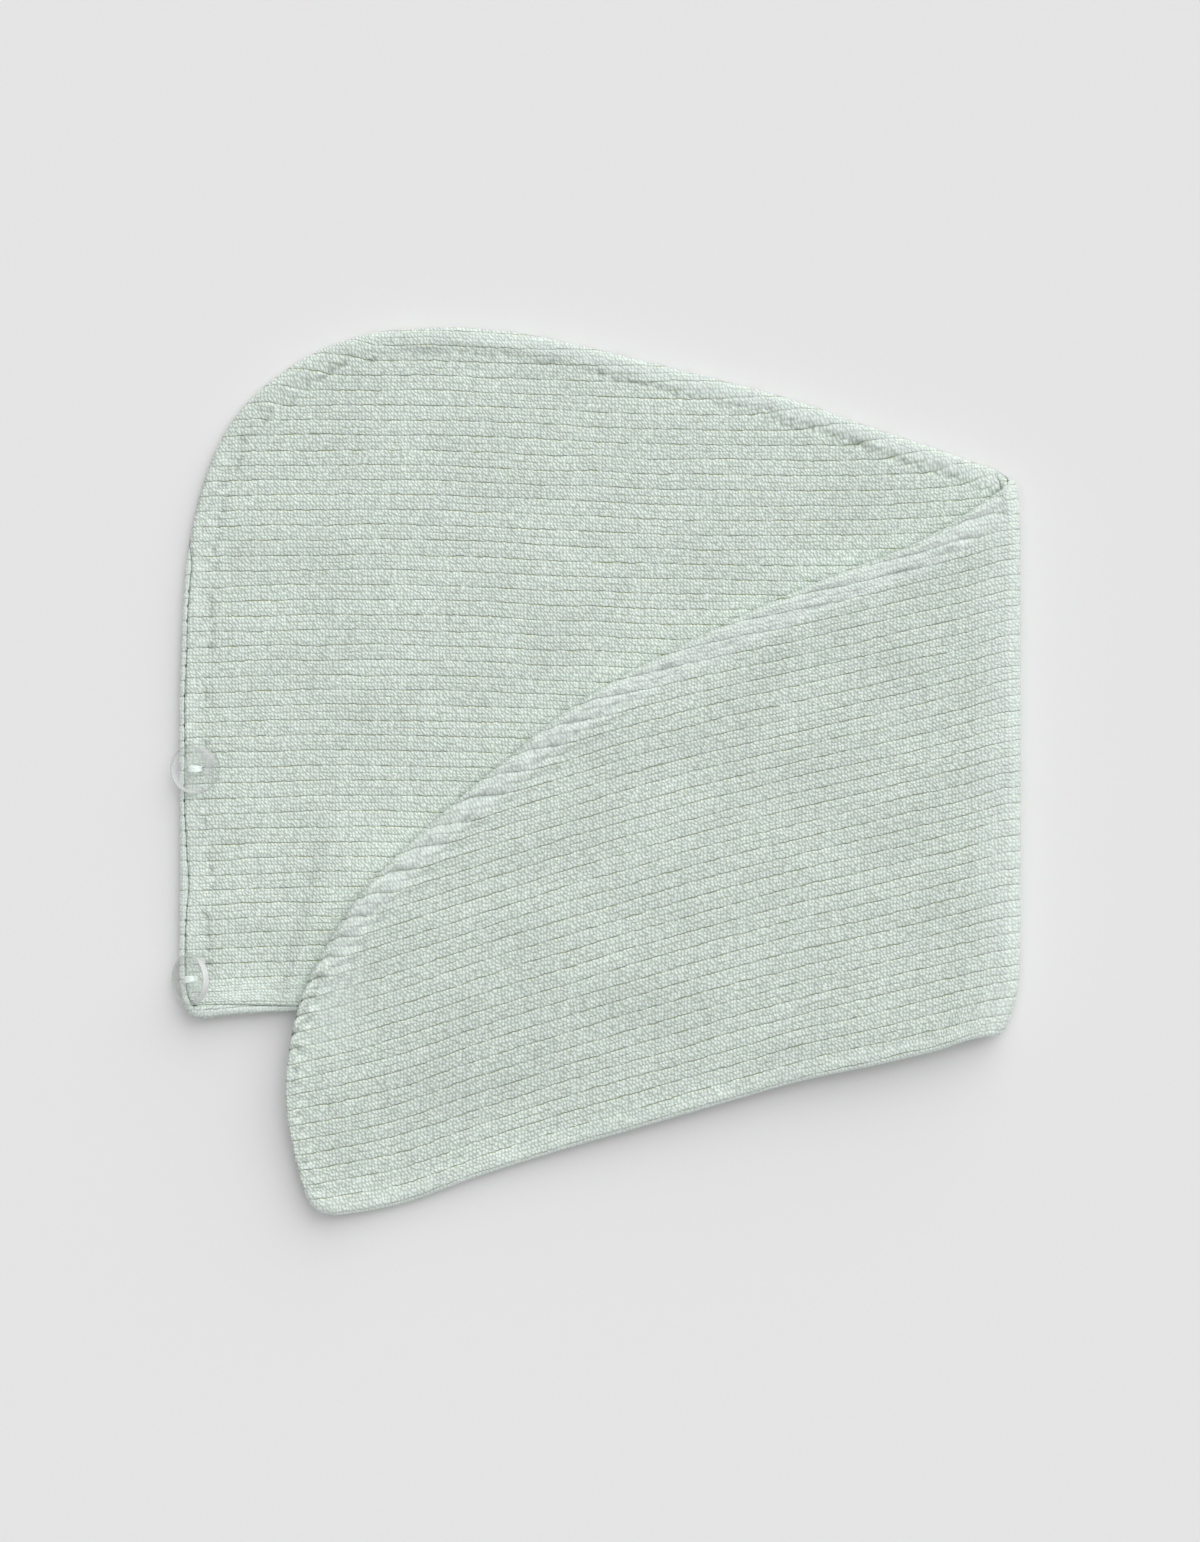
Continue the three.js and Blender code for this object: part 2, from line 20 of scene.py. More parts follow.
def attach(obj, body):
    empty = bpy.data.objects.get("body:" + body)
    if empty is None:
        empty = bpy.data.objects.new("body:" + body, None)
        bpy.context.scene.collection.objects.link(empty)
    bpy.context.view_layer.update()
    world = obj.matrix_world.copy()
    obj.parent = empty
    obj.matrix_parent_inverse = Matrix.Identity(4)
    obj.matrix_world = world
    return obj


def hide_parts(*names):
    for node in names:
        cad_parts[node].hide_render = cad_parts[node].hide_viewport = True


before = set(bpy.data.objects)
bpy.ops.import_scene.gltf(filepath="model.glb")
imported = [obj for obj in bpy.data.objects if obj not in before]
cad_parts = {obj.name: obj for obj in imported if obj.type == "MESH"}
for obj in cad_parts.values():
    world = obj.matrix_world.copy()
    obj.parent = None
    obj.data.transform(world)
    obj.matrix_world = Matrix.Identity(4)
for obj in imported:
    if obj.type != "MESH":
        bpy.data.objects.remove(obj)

LOG = logging.getLogger("hair_towel")
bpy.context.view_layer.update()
MM = 0.001
KNIT_UNIT = 10.0

Socket = bpy.types.NodeSocket
BODY = "root"


class Side(Enum):
    """Which of the two matching panels a cloth is, by where it lies in the hood."""

    UPPER = "right_side_panel"
    LOWER = "left_side_panel"


class LayRow(NamedTuple):
    """Where the flat towel's bottom edge and a rib line 100 above it lie at a station."""

    station: float
    edge: float
    pivot: float
    spread: float


class EdgePoint(NamedTuple):
    """A point of an outline, as the towel lies."""

    x: float
    y: float


PIVOT_ROW = 100.0
LAY = [
    LayRow(-168, -97.8, 1.9, 1.0),
    LayRow(-118, -95.4, 3.0, 1.0),
    LayRow(-78, -95.0, 3.0, 1.0),
    LayRow(-46, -95.0, 2.3, 1.0),
    LayRow(-14, -95.5, 0.9, 1.0),
    LayRow(18, -96.2, -0.3, 1.0),
    LayRow(50, -97.2, -0.9, 1.0),
    LayRow(82, -98.8, -1.1, 1.0),
    LayRow(114, -101.0, -0.7, 1.0),
    LayRow(146, -103.6, 0.9, 1.0),
    LayRow(162, -105.0, 2.5, 1.0),
    LayRow(179, -105.9, 1.5, 1.0),
    LayRow(196, -109.2, -3.2, 1.0),
    LayRow(228, -116.8, -10.9, 1.005),
    LayRow(260, -123.6, -17.8, 1.01),
    LayRow(292, -132.8, -25.4, 1.025),
    LayRow(324, -142.2, -34.3, 1.04),
    LayRow(356, -151.6, -43.8, 1.045),
    LayRow(388, -161.8, -53.6, 1.045),
    LayRow(420, -173.3, -63.9, 1.045),
    LayRow(448, -178.0, -73.0, 1.04),
    LayRow(468, -179.6, -79.0, 1.04),
]
BACK_EDGE = [
    EdgePoint(-157.0, -98.0),
    EdgePoint(-162.8, -96.4),
    EdgePoint(-166.4, -89.5),
    EdgePoint(-167.2, -60.0),
    EdgePoint(-167.0, -20.0),
    EdgePoint(-167.2, 20.0),
    EdgePoint(-166.6, 48.0),
    EdgePoint(-164.6, 82.0),
    EdgePoint(-161.6, 100.6),
    EdgePoint(-156.6, 118.6),
    EdgePoint(-150.0, 134.2),
    EdgePoint(-138.0, 150.0),
    EdgePoint(-118.8, 164.8),
    EdgePoint(-102.0, 172.4),
    EdgePoint(-84.0, 176.8),
    EdgePoint(-54.4, 178.2),
]
CROWN_EDGE = [
    EdgePoint(-54.4, 178.2),
    EdgePoint(-30.4, 175.8),
    EdgePoint(-6.4, 170.8),
    EdgePoint(33.6, 161.0),
    EdgePoint(81.6, 148.2),
    EdgePoint(105.6, 139.6),
    EdgePoint(129.6, 131.6),
    EdgePoint(153.6, 123.8),
    EdgePoint(162.5, 121.2),
]
TAIL_EDGE = [
    EdgePoint(162.5, 112.4),
    EdgePoint(150.0, 104.4),
    EdgePoint(129.6, 92.2),
    EdgePoint(92.8, 77.6),
    EdgePoint(55.6, 61.2),
    EdgePoint(11.2, 38.6),
    EdgePoint(-14.4, 22.6),
    EdgePoint(-37.2, 3.8),
    EdgePoint(-56.8, -12.4),
    EdgePoint(-76.4, -30.4),
    EdgePoint(-93.6, -48.4),
    EdgePoint(-106.4, -67.4),
    EdgePoint(-116.0, -86.0),
    EdgePoint(-122.0, -107.4),
    EdgePoint(-124.0, -131.4),
    EdgePoint(-121.8, -149.0),
    EdgePoint(-117.4, -166.4),
    EdgePoint(-113.6, -174.6),
    EdgePoint(-106.4, -178.0),
]
FOLD_EDGE = [
    EdgePoint(161.6, -112),
    EdgePoint(163.0, -105),
    EdgePoint(165.6, -98),
    EdgePoint(168.2, -90),
    EdgePoint(169.4, -80),
    EdgePoint(169.8, -60),
    EdgePoint(169.8, 80),
    EdgePoint(169.6, 100),
    EdgePoint(169.0, 110),
    EdgePoint(167.4, 118),
]
BACK_STEPS = [
    EdgePoint(-97.0, 2.8),
    EdgePoint(-66.0, 2.6),
    EdgePoint(-55.0, 3.2),
    EdgePoint(-45.0, 4.0),
    EdgePoint(-32.0, 3.0),
    EdgePoint(-12.0, 2.1),
    EdgePoint(10.0, 2.4),
    EdgePoint(30.0, 2.2),
    EdgePoint(45.0, 2.6),
    EdgePoint(60.0, 2.3),
    EdgePoint(84.0, 2.5),
]


def smooth(t: np.ndarray) -> np.ndarray:
    """A step from 0 to 1 that starts and ends level.

    Args:
        t: Where along the step, from 0 to 1; beyond those it stays at the ends.

    Returns:
        The step's height there.
    """
    held = np.clip(t, 0.0, 1.0)
    return held * held * (3.0 - 2.0 * held)


def quarter_round(t: np.ndarray) -> np.ndarray:
    """A quarter circle's height, which starts steep and ends level.

    Args:
        t: Where along the quarter, from 0 to 1; beyond those it stays at the ends.

    Returns:
        The height there.
    """
    return np.sqrt(1 - (1 - np.clip(t, 0, 1)) ** 2)


class Ramp(NamedTuple):
    """A smooth step from 0 to 1: where it starts, and its width, below zero where it rises backwards."""

    start: float
    width: float

    def at(self, value: np.ndarray) -> np.ndarray:
        """Reads the step at some values."""
        return smooth((value - self.start) / self.width)

    def towards(self, other: "Ramp", share: np.ndarray) -> "Ramp":
        """Moves the step part of the way to another one."""
        return Ramp(*(own + (aim - own) * share for own, aim in zip(self, other)))


def read_table(keys: np.ndarray, values: np.ndarray, at: np.ndarray) -> np.ndarray:
    """Reads a short table on a cubic whose slopes come from the neighbouring rows.

    Args:
        keys: The table's key column, rising.
        values: The column to read.
        at: The keys to read it at.

    Returns:
        The values there, held at the table's ends.
    """
    slopes = np.empty_like(values)
    slopes[1:-1] = (values[2:] - values[:-2]) / (keys[2:] - keys[:-2])
    slopes[0] = (values[1] - values[0]) / (keys[1] - keys[0])
    slopes[-1] = (values[-1] - values[-2]) / (keys[-1] - keys[-2])
    held = np.clip(at, keys[0], keys[-1])
    i = np.clip(np.searchsorted(keys, held, side="right") - 1, 0, len(keys) - 2)
    width = keys[i + 1] - keys[i]
    t = (held - keys[i]) / width
    return (
        values[i] * (1 + 2 * t) * (1 - t) ** 2
        + values[i + 1] * t * t * (3 - 2 * t)
        + width * (slopes[i] * t * (1 - t) ** 2 - slopes[i + 1] * t * t * (1 - t))
    )


@dataclass(frozen=True)
class GentleNoise:
    """Smooth random unevenness over a plane, the same on every run."""

    seed: int
    length: float
    width: float = 1.0
    cells: int = 64

    def at(self, along: np.ndarray, across: np.ndarray = 0.0) -> np.ndarray:
        """Reads the unevenness.

        Args:
            along: First coordinate, in which a bump is as long as the length.
            across: Second coordinate, in which it is as wide as the width.

        Returns:
            Values from -1 to 1.
        """
        values = np.random.RandomState(self.seed).uniform(-1.0, 1.0, (self.cells, self.cells))
        along, across = along / self.length, across / self.width
        i, j = np.floor(along).astype(int), np.floor(across).astype(int)
        u, v = smooth(along - i), smooth(across - j)
        low, high = (
            values[i % self.cells, (j + step) % self.cells] * (1 - u)
            + values[(i + 1) % self.cells, (j + step) % self.cells] * u
            for step in (0, 1)
        )
        return low * (1 - v) + high * v


@dataclass(frozen=True)
class FoldPlan:
    """How the flat towel lies: its rib lines, its two plies, and the fold that lays the tail over."""

    ply: float = 2.8
    pocket_gap: float = 0.8
    seam_gap: float = 0.3
    rest_gap: float = 0.7
    fold_outer: float = 169.8
    turn_length: float = 16.0
    fold_fade: float = 30.0
    mouth: Ramp = Ramp(125.0, -12.0)
    hem_step: float = 1.5
    hem_step_at_back: float = 3.9
    hem_step_from: Ramp = Ramp(-112.0, -48.0)
    hem_step_rows: float = 12.0
    back_step_fade: Ramp = Ramp(94.0, -12.0)
    drape: Ramp = Ramp(0.5, 88.0)
    tip_spring: float = 0.38
    tip: Ramp = Ramp(-78.0, -34.0)
    mouth_lift: float = 2.9
    lift_from: Ramp = Ramp(-40.0, -60.0)
    under_tail: Ramp = Ramp(-130.0, 26.0)
    lift_rise: Ramp = Ramp(-78.0, -20.0)
    lift_rise_under_tail: Ramp = Ramp(-12.0, -34.0)
    lift_fall: Ramp = Ramp(-104.0, -74.0)
    lift_fall_under_tail: Ramp = Ramp(-50.0, -48.0)

    @property
    def stack(self) -> float:
        """Thickness of the two plies together."""
        return 2 * self.ply + self.pocket_gap

    @property
    def axis_z(self) -> float:
        """Height of the line that the cloth turns round."""
        return self.stack + self.rest_gap / 2

    @property
    def axis_x(self) -> float:
        """Place of the line that the cloth turns round."""
        return self.fold_outer - self.axis_z

    @property
    def turn_end(self) -> float:
        """Station at which the cloth has turned over."""
        return self.axis_x + self.turn_length

    def tail_station(self, x: np.ndarray) -> np.ndarray:
        """Station of a place on the tail, as it lies.

        Args:
            x: The place.

        Returns:
            Its station.
        """
        return self.axis_x + self.turn_end - x

    def hem_back(self, side: Side, station: np.ndarray) -> np.ndarray:
        """How far a panel's mouth hem stands back from the lower panel's.

        Args:
            side: The panel.
            station: Where along the towel.

        Returns:
            The distance there.
        """
        if side is Side.LOWER:
            return 0.0 * station
        more = self.hem_step_at_back - self.hem_step
        return (self.hem_step + more * self.hem_step_from.at(station)) * self.mouth.at(station)

    def back_step(self, y: np.ndarray) -> np.ndarray:
        """How far the upper panel's seam stands back from the lower panel's, along the back.

        Args:
            y: Height on the flat towel.

        Returns:
            The distance there.
        """
        table = np.array(BACK_STEPS)
        return read_table(table[:, 0], table[:, 1], y)

    def line_height(self, side: Side, station: np.ndarray, row: np.ndarray) -> np.ndarray:
        """Height of a rib line on the flat towel.

        Args:
            side: The panel.
            station: Where along the towel.
            row: The rib line.

        Returns:
            The height there.
        """
        lay = np.array(LAY)
        edge, pivot, spread = (read_table(lay[:, 0], lay[:, c], station) for c in (1, 2, 3))
        squeeze = self.hem_back(side, station) * np.clip(1 - row / self.hem_step_rows, 0, 1)
        low = edge + row / PIVOT_ROW * (pivot - edge) + squeeze
        return np.where(row > PIVOT_ROW, pivot + (row - PIVOT_ROW) * spread, low)

    def line_at(self, side: Side, station: np.ndarray, y: np.ndarray) -> np.ndarray:
        """The rib line that passes through a point of the flat towel.

        Args:
            side: The panel.
            station: Where along the towel.
            y: Its height there.

        Returns:
            The rib line.
        """
        lay = np.array(LAY)
        edge, pivot, spread = (read_table(lay[:, 0], lay[:, c], station) for c in (1, 2, 3))
        step = self.hem_back(side, station)
        per_row = (pivot - edge) / PIVOT_ROW
        squeezed = (y - edge - step) / (per_row - step / self.hem_step_rows)
        plain = (y - edge) / per_row
        low = np.where(squeezed < self.hem_step_rows, squeezed, plain)
        return np.where(y > pivot, PIVOT_ROW + (y - pivot) / spread, low)

    def drop(self, x: np.ndarray, y: np.ndarray) -> np.ndarray:
        """How far the tail has come down, past the hood's mouth edge.

        Args:
            x: Place, as the towel lies.
            y: Place, as the towel lies.

        Returns:
            The drop there.
        """
        lay = np.array(LAY)
        beyond = read_table(lay[:, 0], lay[:, 1], x) - y
        spring = 1 - self.tip_spring * self.tip.at(x)
        return spring * (self.stack + self.rest_gap) * self.drape.at(beyond)

    def lift(self, x: np.ndarray, y: np.ndarray) -> np.ndarray:
        """How far the whole stack springs up from the floor, near the mouth's back end.

        Args:
            x: Place, as the towel lies.
            y: Place, as the towel lies.

        Returns:
            The lift there.
        """
        share = self.under_tail.at(x)
        rise = self.lift_rise.towards(self.lift_rise_under_tail, share).at(y)
        fall = self.lift_fall.towards(self.lift_fall_under_tail, share).at(y)
        return self.mouth_lift * self.lift_from.at(x) * rise * (1 - fall)

    def fold(self, station: np.ndarray, y: np.ndarray, layer: np.ndarray) -> np.ndarray:
        """Folds points of the flat towel into their places.

        Args:
            station: Where along the towel.
            y: Height on the flat towel.
            layer: Height in the stack of plies.

        Returns:
            The places, one row of x, y and z each.
        """
        edge = np.array(FOLD_EDGE)
        wander = read_table(edge[:, 1], edge[:, 0], y) - self.fold_outer
        radius = self.axis_z - layer
        before = smooth((station - self.axis_x + self.fold_fade) / self.fold_fade)
        after = smooth((self.turn_end + self.fold_fade - station) / self.fold_fade)
        angle = np.pi * np.clip((station - self.axis_x) / self.turn_length, 0, 1)
        x_tail = self.axis_x + self.turn_end - station + wander * after
        x = np.where(station <= self.axis_x, station + wander * before, x_tail)
        in_turn = (station > self.axis_x) & (station <= self.turn_end)
        x = np.where(in_turn, self.axis_x + wander + radius * np.sin(angle), x)
        z = self.axis_z - radius * np.cos(angle)
        z = z - np.where(station > self.turn_end, self.drop(x, y), 0.0) + self.lift(x, y)
        return np.stack([x, y, z], axis=1)


def smooth_curve(points: np.ndarray, steps: int = 12) -> np.ndarray:
    """Draws a smooth curve through points, without loops or overshoot between uneven ones.

    Args:
        points: The points, one row each.
        steps: How many pieces each stretch is drawn in.

    Returns:
        The curve's points.
    """
    ends = np.vstack([2 * points[0] - points[1], points, 2 * points[-1] - points[-2]])
    drawn = []
    for p0, p1, p2, p3 in zip(ends, ends[1:], ends[2:], ends[3:]):
        k1, k2, k3 = np.cumsum([np.linalg.norm(b - a) ** 0.5 for a, b in ((p0, p1), (p1, p2), (p2, p3))])
        for t in k1 + (k2 - k1) * np.arange(steps) / steps:
            a1, a2, a3 = (
                ((to - t) * p + (t - start) * q) / (to - start)
                for p, q, start, to in ((p0, p1, 0.0, k1), (p1, p2, k1, k2), (p2, p3, k2, k3))
            )
            b1 = ((k2 - t) * a1 + t * a2) / k2
            b2 = ((k3 - t) * a2 + (t - k1) * a3) / (k3 - k1)
            drawn.append(((k2 - t) * b1 + (t - k1) * b2) / (k2 - k1))
    return np.array(drawn + [points[-1]])


def even_loop(points: np.ndarray, spacing: float) -> np.ndarray:
    """Spaces the points of a closed line evenly.

    Args:
        points: The line's points, without the first repeated.
        spacing: The spacing wanted.

    Returns:
        The new points.
    """
    closed = np.vstack([points, points[:1]])
    lengths = np.concatenate([[0], np.cumsum(np.linalg.norm(np.diff(closed, axis=0), axis=1))])
    count = int(round(lengths[-1] / spacing))
    at = np.arange(count) * lengths[-1] / count
    return np.stack([np.interp(at, lengths, closed[:, c]) for c in (0, 1)], axis=1)


def round_corners(points: np.ndarray, reach: float) -> np.ndarray:
    """Averages the points of an evenly spaced closed line over their neighbours.

    Args:
        points: The line's points.
        reach: Spread of the average, in points.

    Returns:
        The rounded line.
    """
    half = int(3 * reach)
    weights = np.exp(-0.5 * (np.arange(-half, half + 1) / reach) ** 2)
    weights /= weights.sum()
    return sum(w * np.roll(points, k, axis=0) for k, w in zip(range(-half, half + 1), weights))


@dataclass
class Outline:
    """A panel's outline on the flat towel, and what each stretch of it is like."""

    plan: FoldPlan
    side: Side
    spacing: float = 1.0
    corner_reach: float = 1.8
    hem_bulge: float = 0.9
    hem_bulge_from: Ramp = Ramp(-100.0, -40.0)
    corner_bulge: float = 0.9
    corner_station: float = -157.0
    corner_width: float = 8.0
    bottom_band: float = 9.0
    facing: Ramp = Ramp(0.35, 0.5)
    back_before: float = -100.0
    rib_lean: float = -0.28
    points: np.ndarray = field(init=False)
    inward: np.ndarray = field(init=False)
    arc: np.ndarray = field(init=False)
    open_share: np.ndarray = field(init=False)
    back_share: np.ndarray = field(init=False)
    along_ribs: np.ndarray = field(init=False)
    step_back: np.ndarray = field(init=False)

    def __post_init__(self) -> None:
        """Draws the lower panel's outline, and steps it in where the upper panel stands back."""
        plan = self.plan
        tip = plan.tail_station(TAIL_EDGE[-1].x)
        stations = np.arange(BACK_EDGE[0].x, tip, self.spacing)
        bottom = np.stack([stations, plan.line_height(Side.LOWER, stations, 0 * stations)], axis=1)
        tail = np.array([(plan.tail_station(p.x), p.y) for p in reversed(TAIL_EDGE)])
        crown = np.array(list(reversed(CROWN_EDGE)))
        back = np.array(list(reversed(BACK_EDGE)))
        drawn = np.vstack([bottom, smooth_curve(tail), smooth_curve(crown), smooth_curve(back)[:-1]])
        loop = even_loop(drawn, self.spacing)
        loop = even_loop(round_corners(loop, self.corner_reach), self.spacing)
        self._take(loop)
        if self.side is Side.UPPER:
            steps = self.step_back
        else:
            steps = -self._bulge()
        stepped = self.points + self.inward * steps[:, None]
        self._take(even_loop(round_corners(stepped, self.corner_reach), self.spacing))
        if self.side is Side.LOWER:
            self.step_back = self.step_back + self._bulge()

    def _bulge(self) -> np.ndarray:
        """Works out how far the lower panel's mouth hem bulges out, at each point of the outline.

        Returns:
            The distances.
        """
        station = self.points[:, 0]
        bulge = self.hem_bulge * self.hem_bulge_from.at(station)
        bulge += self.corner_bulge * np.exp(-(((station - self.corner_station) / self.corner_width) ** 2))
        return bulge * self.open_share

    def on_bottom(self) -> np.ndarray:
        """Finds the points on the towel's bottom edge.

        Returns:
            True for each of them.
        """
        station, y = self.points.T
        return np.abs(y - self.plan.line_height(Side.LOWER, station, 0 * y)) < self.bottom_band

    def _take(self, loop: np.ndarray) -> None:
        """Keeps a closed line as the outline and works out its normals and shares.

        Args:
            loop: The line's points, running anticlockwise.
        """
        plan = self.plan
        along = np.roll(loop, -1, axis=0) - np.roll(loop, 1, axis=0)
        along /= np.linalg.norm(along, axis=1)[:, None]
        self.points = loop
        self.inward = np.stack([-along[:, 1], along[:, 0]], axis=1)
        self.arc = np.arange(len(loop)) * self.spacing
        station, y = loop.T
        facing_down, facing_left = self.facing.at(self.inward[:, 1]), self.facing.at(self.inward[:, 0])
        self.open_share = np.where(self.on_bottom(), facing_down * plan.mouth.at(station), 0.0)
        at_back = facing_left * plan.back_step_fade.at(y)
        self.back_share = np.where(station < self.back_before, at_back, 0.0)
        lean = np.where(station > plan.turn_end, self.rib_lean, 0.0)
        self.along_ribs = np.abs(self.inward[:, 1] - lean * self.inward[:, 0]) / np.hypot(1, lean)
        step = plan.back_step(y) * self.back_share + plan.hem_back(Side.UPPER, station) * self.open_share
        self.step_back = step / np.maximum(self.back_share + self.open_share, 1.0)

    def nearest(self, at: np.ndarray) -> tuple[np.ndarray, np.ndarray]:
        """Finds the outline's nearest point.

        Args:
            at: Places on the flat towel, one row each.

        Returns:
            The distances, and which points of the outline they are to.
        """
        distance, which = np.empty(len(at)), np.empty(len(at), int)
        chunk = 4000
        for start in range(0, len(at), chunk):
            part = at[start : start + chunk]
            gap = ((part[:, None, :] - self.points[None]) ** 2).sum(axis=2)
            found = gap.argmin(axis=1)
            which[start : start + chunk] = found
            distance[start : start + chunk] = np.sqrt(gap[np.arange(len(part)), found])
        return distance, which


class Spot(NamedTuple):
    """Vertices of a cloth, as columns: place on the flat towel, distance from its edge, and nearest point."""

    station: np.ndarray
    y: np.ndarray
    inset: np.ndarray
    edge_point: np.ndarray


class ClothMesh:
    """Collects the vertices and triangles of one panel."""

    def __init__(self) -> None:
        """Starts with nothing."""
        self.stations: list[np.ndarray] = []
        self.heights: list[np.ndarray] = []
        self.insets: list[np.ndarray] = []
        self.edge_points: list[np.ndarray] = []
        self.faces: list[np.ndarray] = []
        self.count = 0

    def add(
        self, station: np.ndarray, y: np.ndarray, inset: np.ndarray, edge_point: np.ndarray
    ) -> np.ndarray:
        """Adds vertices.

        Args:
            station: Their stations.
            y: Their heights on the flat towel.
            inset: Their distances from the edge, or below zero where not known yet.
            edge_point: Their nearest edge points.

        Returns:
            Their numbers.
        """
        columns = self.stations, self.heights, self.insets, self.edge_points
        for kept, new in zip(columns, (station, y, inset, edge_point)):
            kept.append(np.asarray(new, float))
        self.count += len(station)
        return np.arange(self.count - len(station), self.count)

    def spot(self) -> Spot:
        """Gathers all the vertices so far.

        Returns:
            Their columns, as copies.
        """
        return Spot(
            np.concatenate(self.stations),
            np.concatenate(self.heights),
            np.concatenate(self.insets),
            np.concatenate(self.edge_points).astype(int),
        )

    def band(self, outer: np.ndarray, inner: np.ndarray, flip: bool) -> None:
        """Joins two closed rings of as many vertices.

        Args:
            outer: The ring further out.
            inner: The ring further in.
            flip: Whether the faces look down.
        """
        next_outer, next_inner = np.roll(outer, -1), np.roll(inner, -1)
        made = np.vstack(
            [np.stack([outer, next_outer, next_inner], 1), np.stack([outer, next_inner, inner], 1)]
        )
        self.faces.append(made[:, ::-1] if flip else made)

    def bands(self, rings: list[np.ndarray], flip: bool) -> None:
        """Joins closed rings of as many vertices, each one to the next.

        Args:
            rings: The rings, from the outermost one.
            flip: Whether the faces look down.
        """
        for outer, inner in zip(rings, rings[1:]):
            self.band(outer, inner, flip)

    def zip(self, below: list, above: list, flip: bool) -> None:
        """Joins two lines of vertices that run the same way.

        Args:
            below: Pairs of a rising key and a vertex.
            above: The same, for the line on the left of the first one.
            flip: Whether the faces look down.
        """
        i, j, made = 0, 0, []
        last_below, last_above = len(below) - 1, len(above) - 1
        while i < last_below or j < last_above:
            key_below = below[i + 1][0] if i < last_below else math.inf
            key_above = above[j + 1][0] if j < last_above else math.inf
            if key_below <= key_above:
                made.append((below[i][1], below[i + 1][1], above[j][1]))
                i += 1
            else:
                made.append((below[i][1], above[j + 1][1], above[j][1]))
                j += 1
        found = np.array(made, int).reshape(-1, 3)
        self.faces.append(found[:, ::-1] if flip else found)


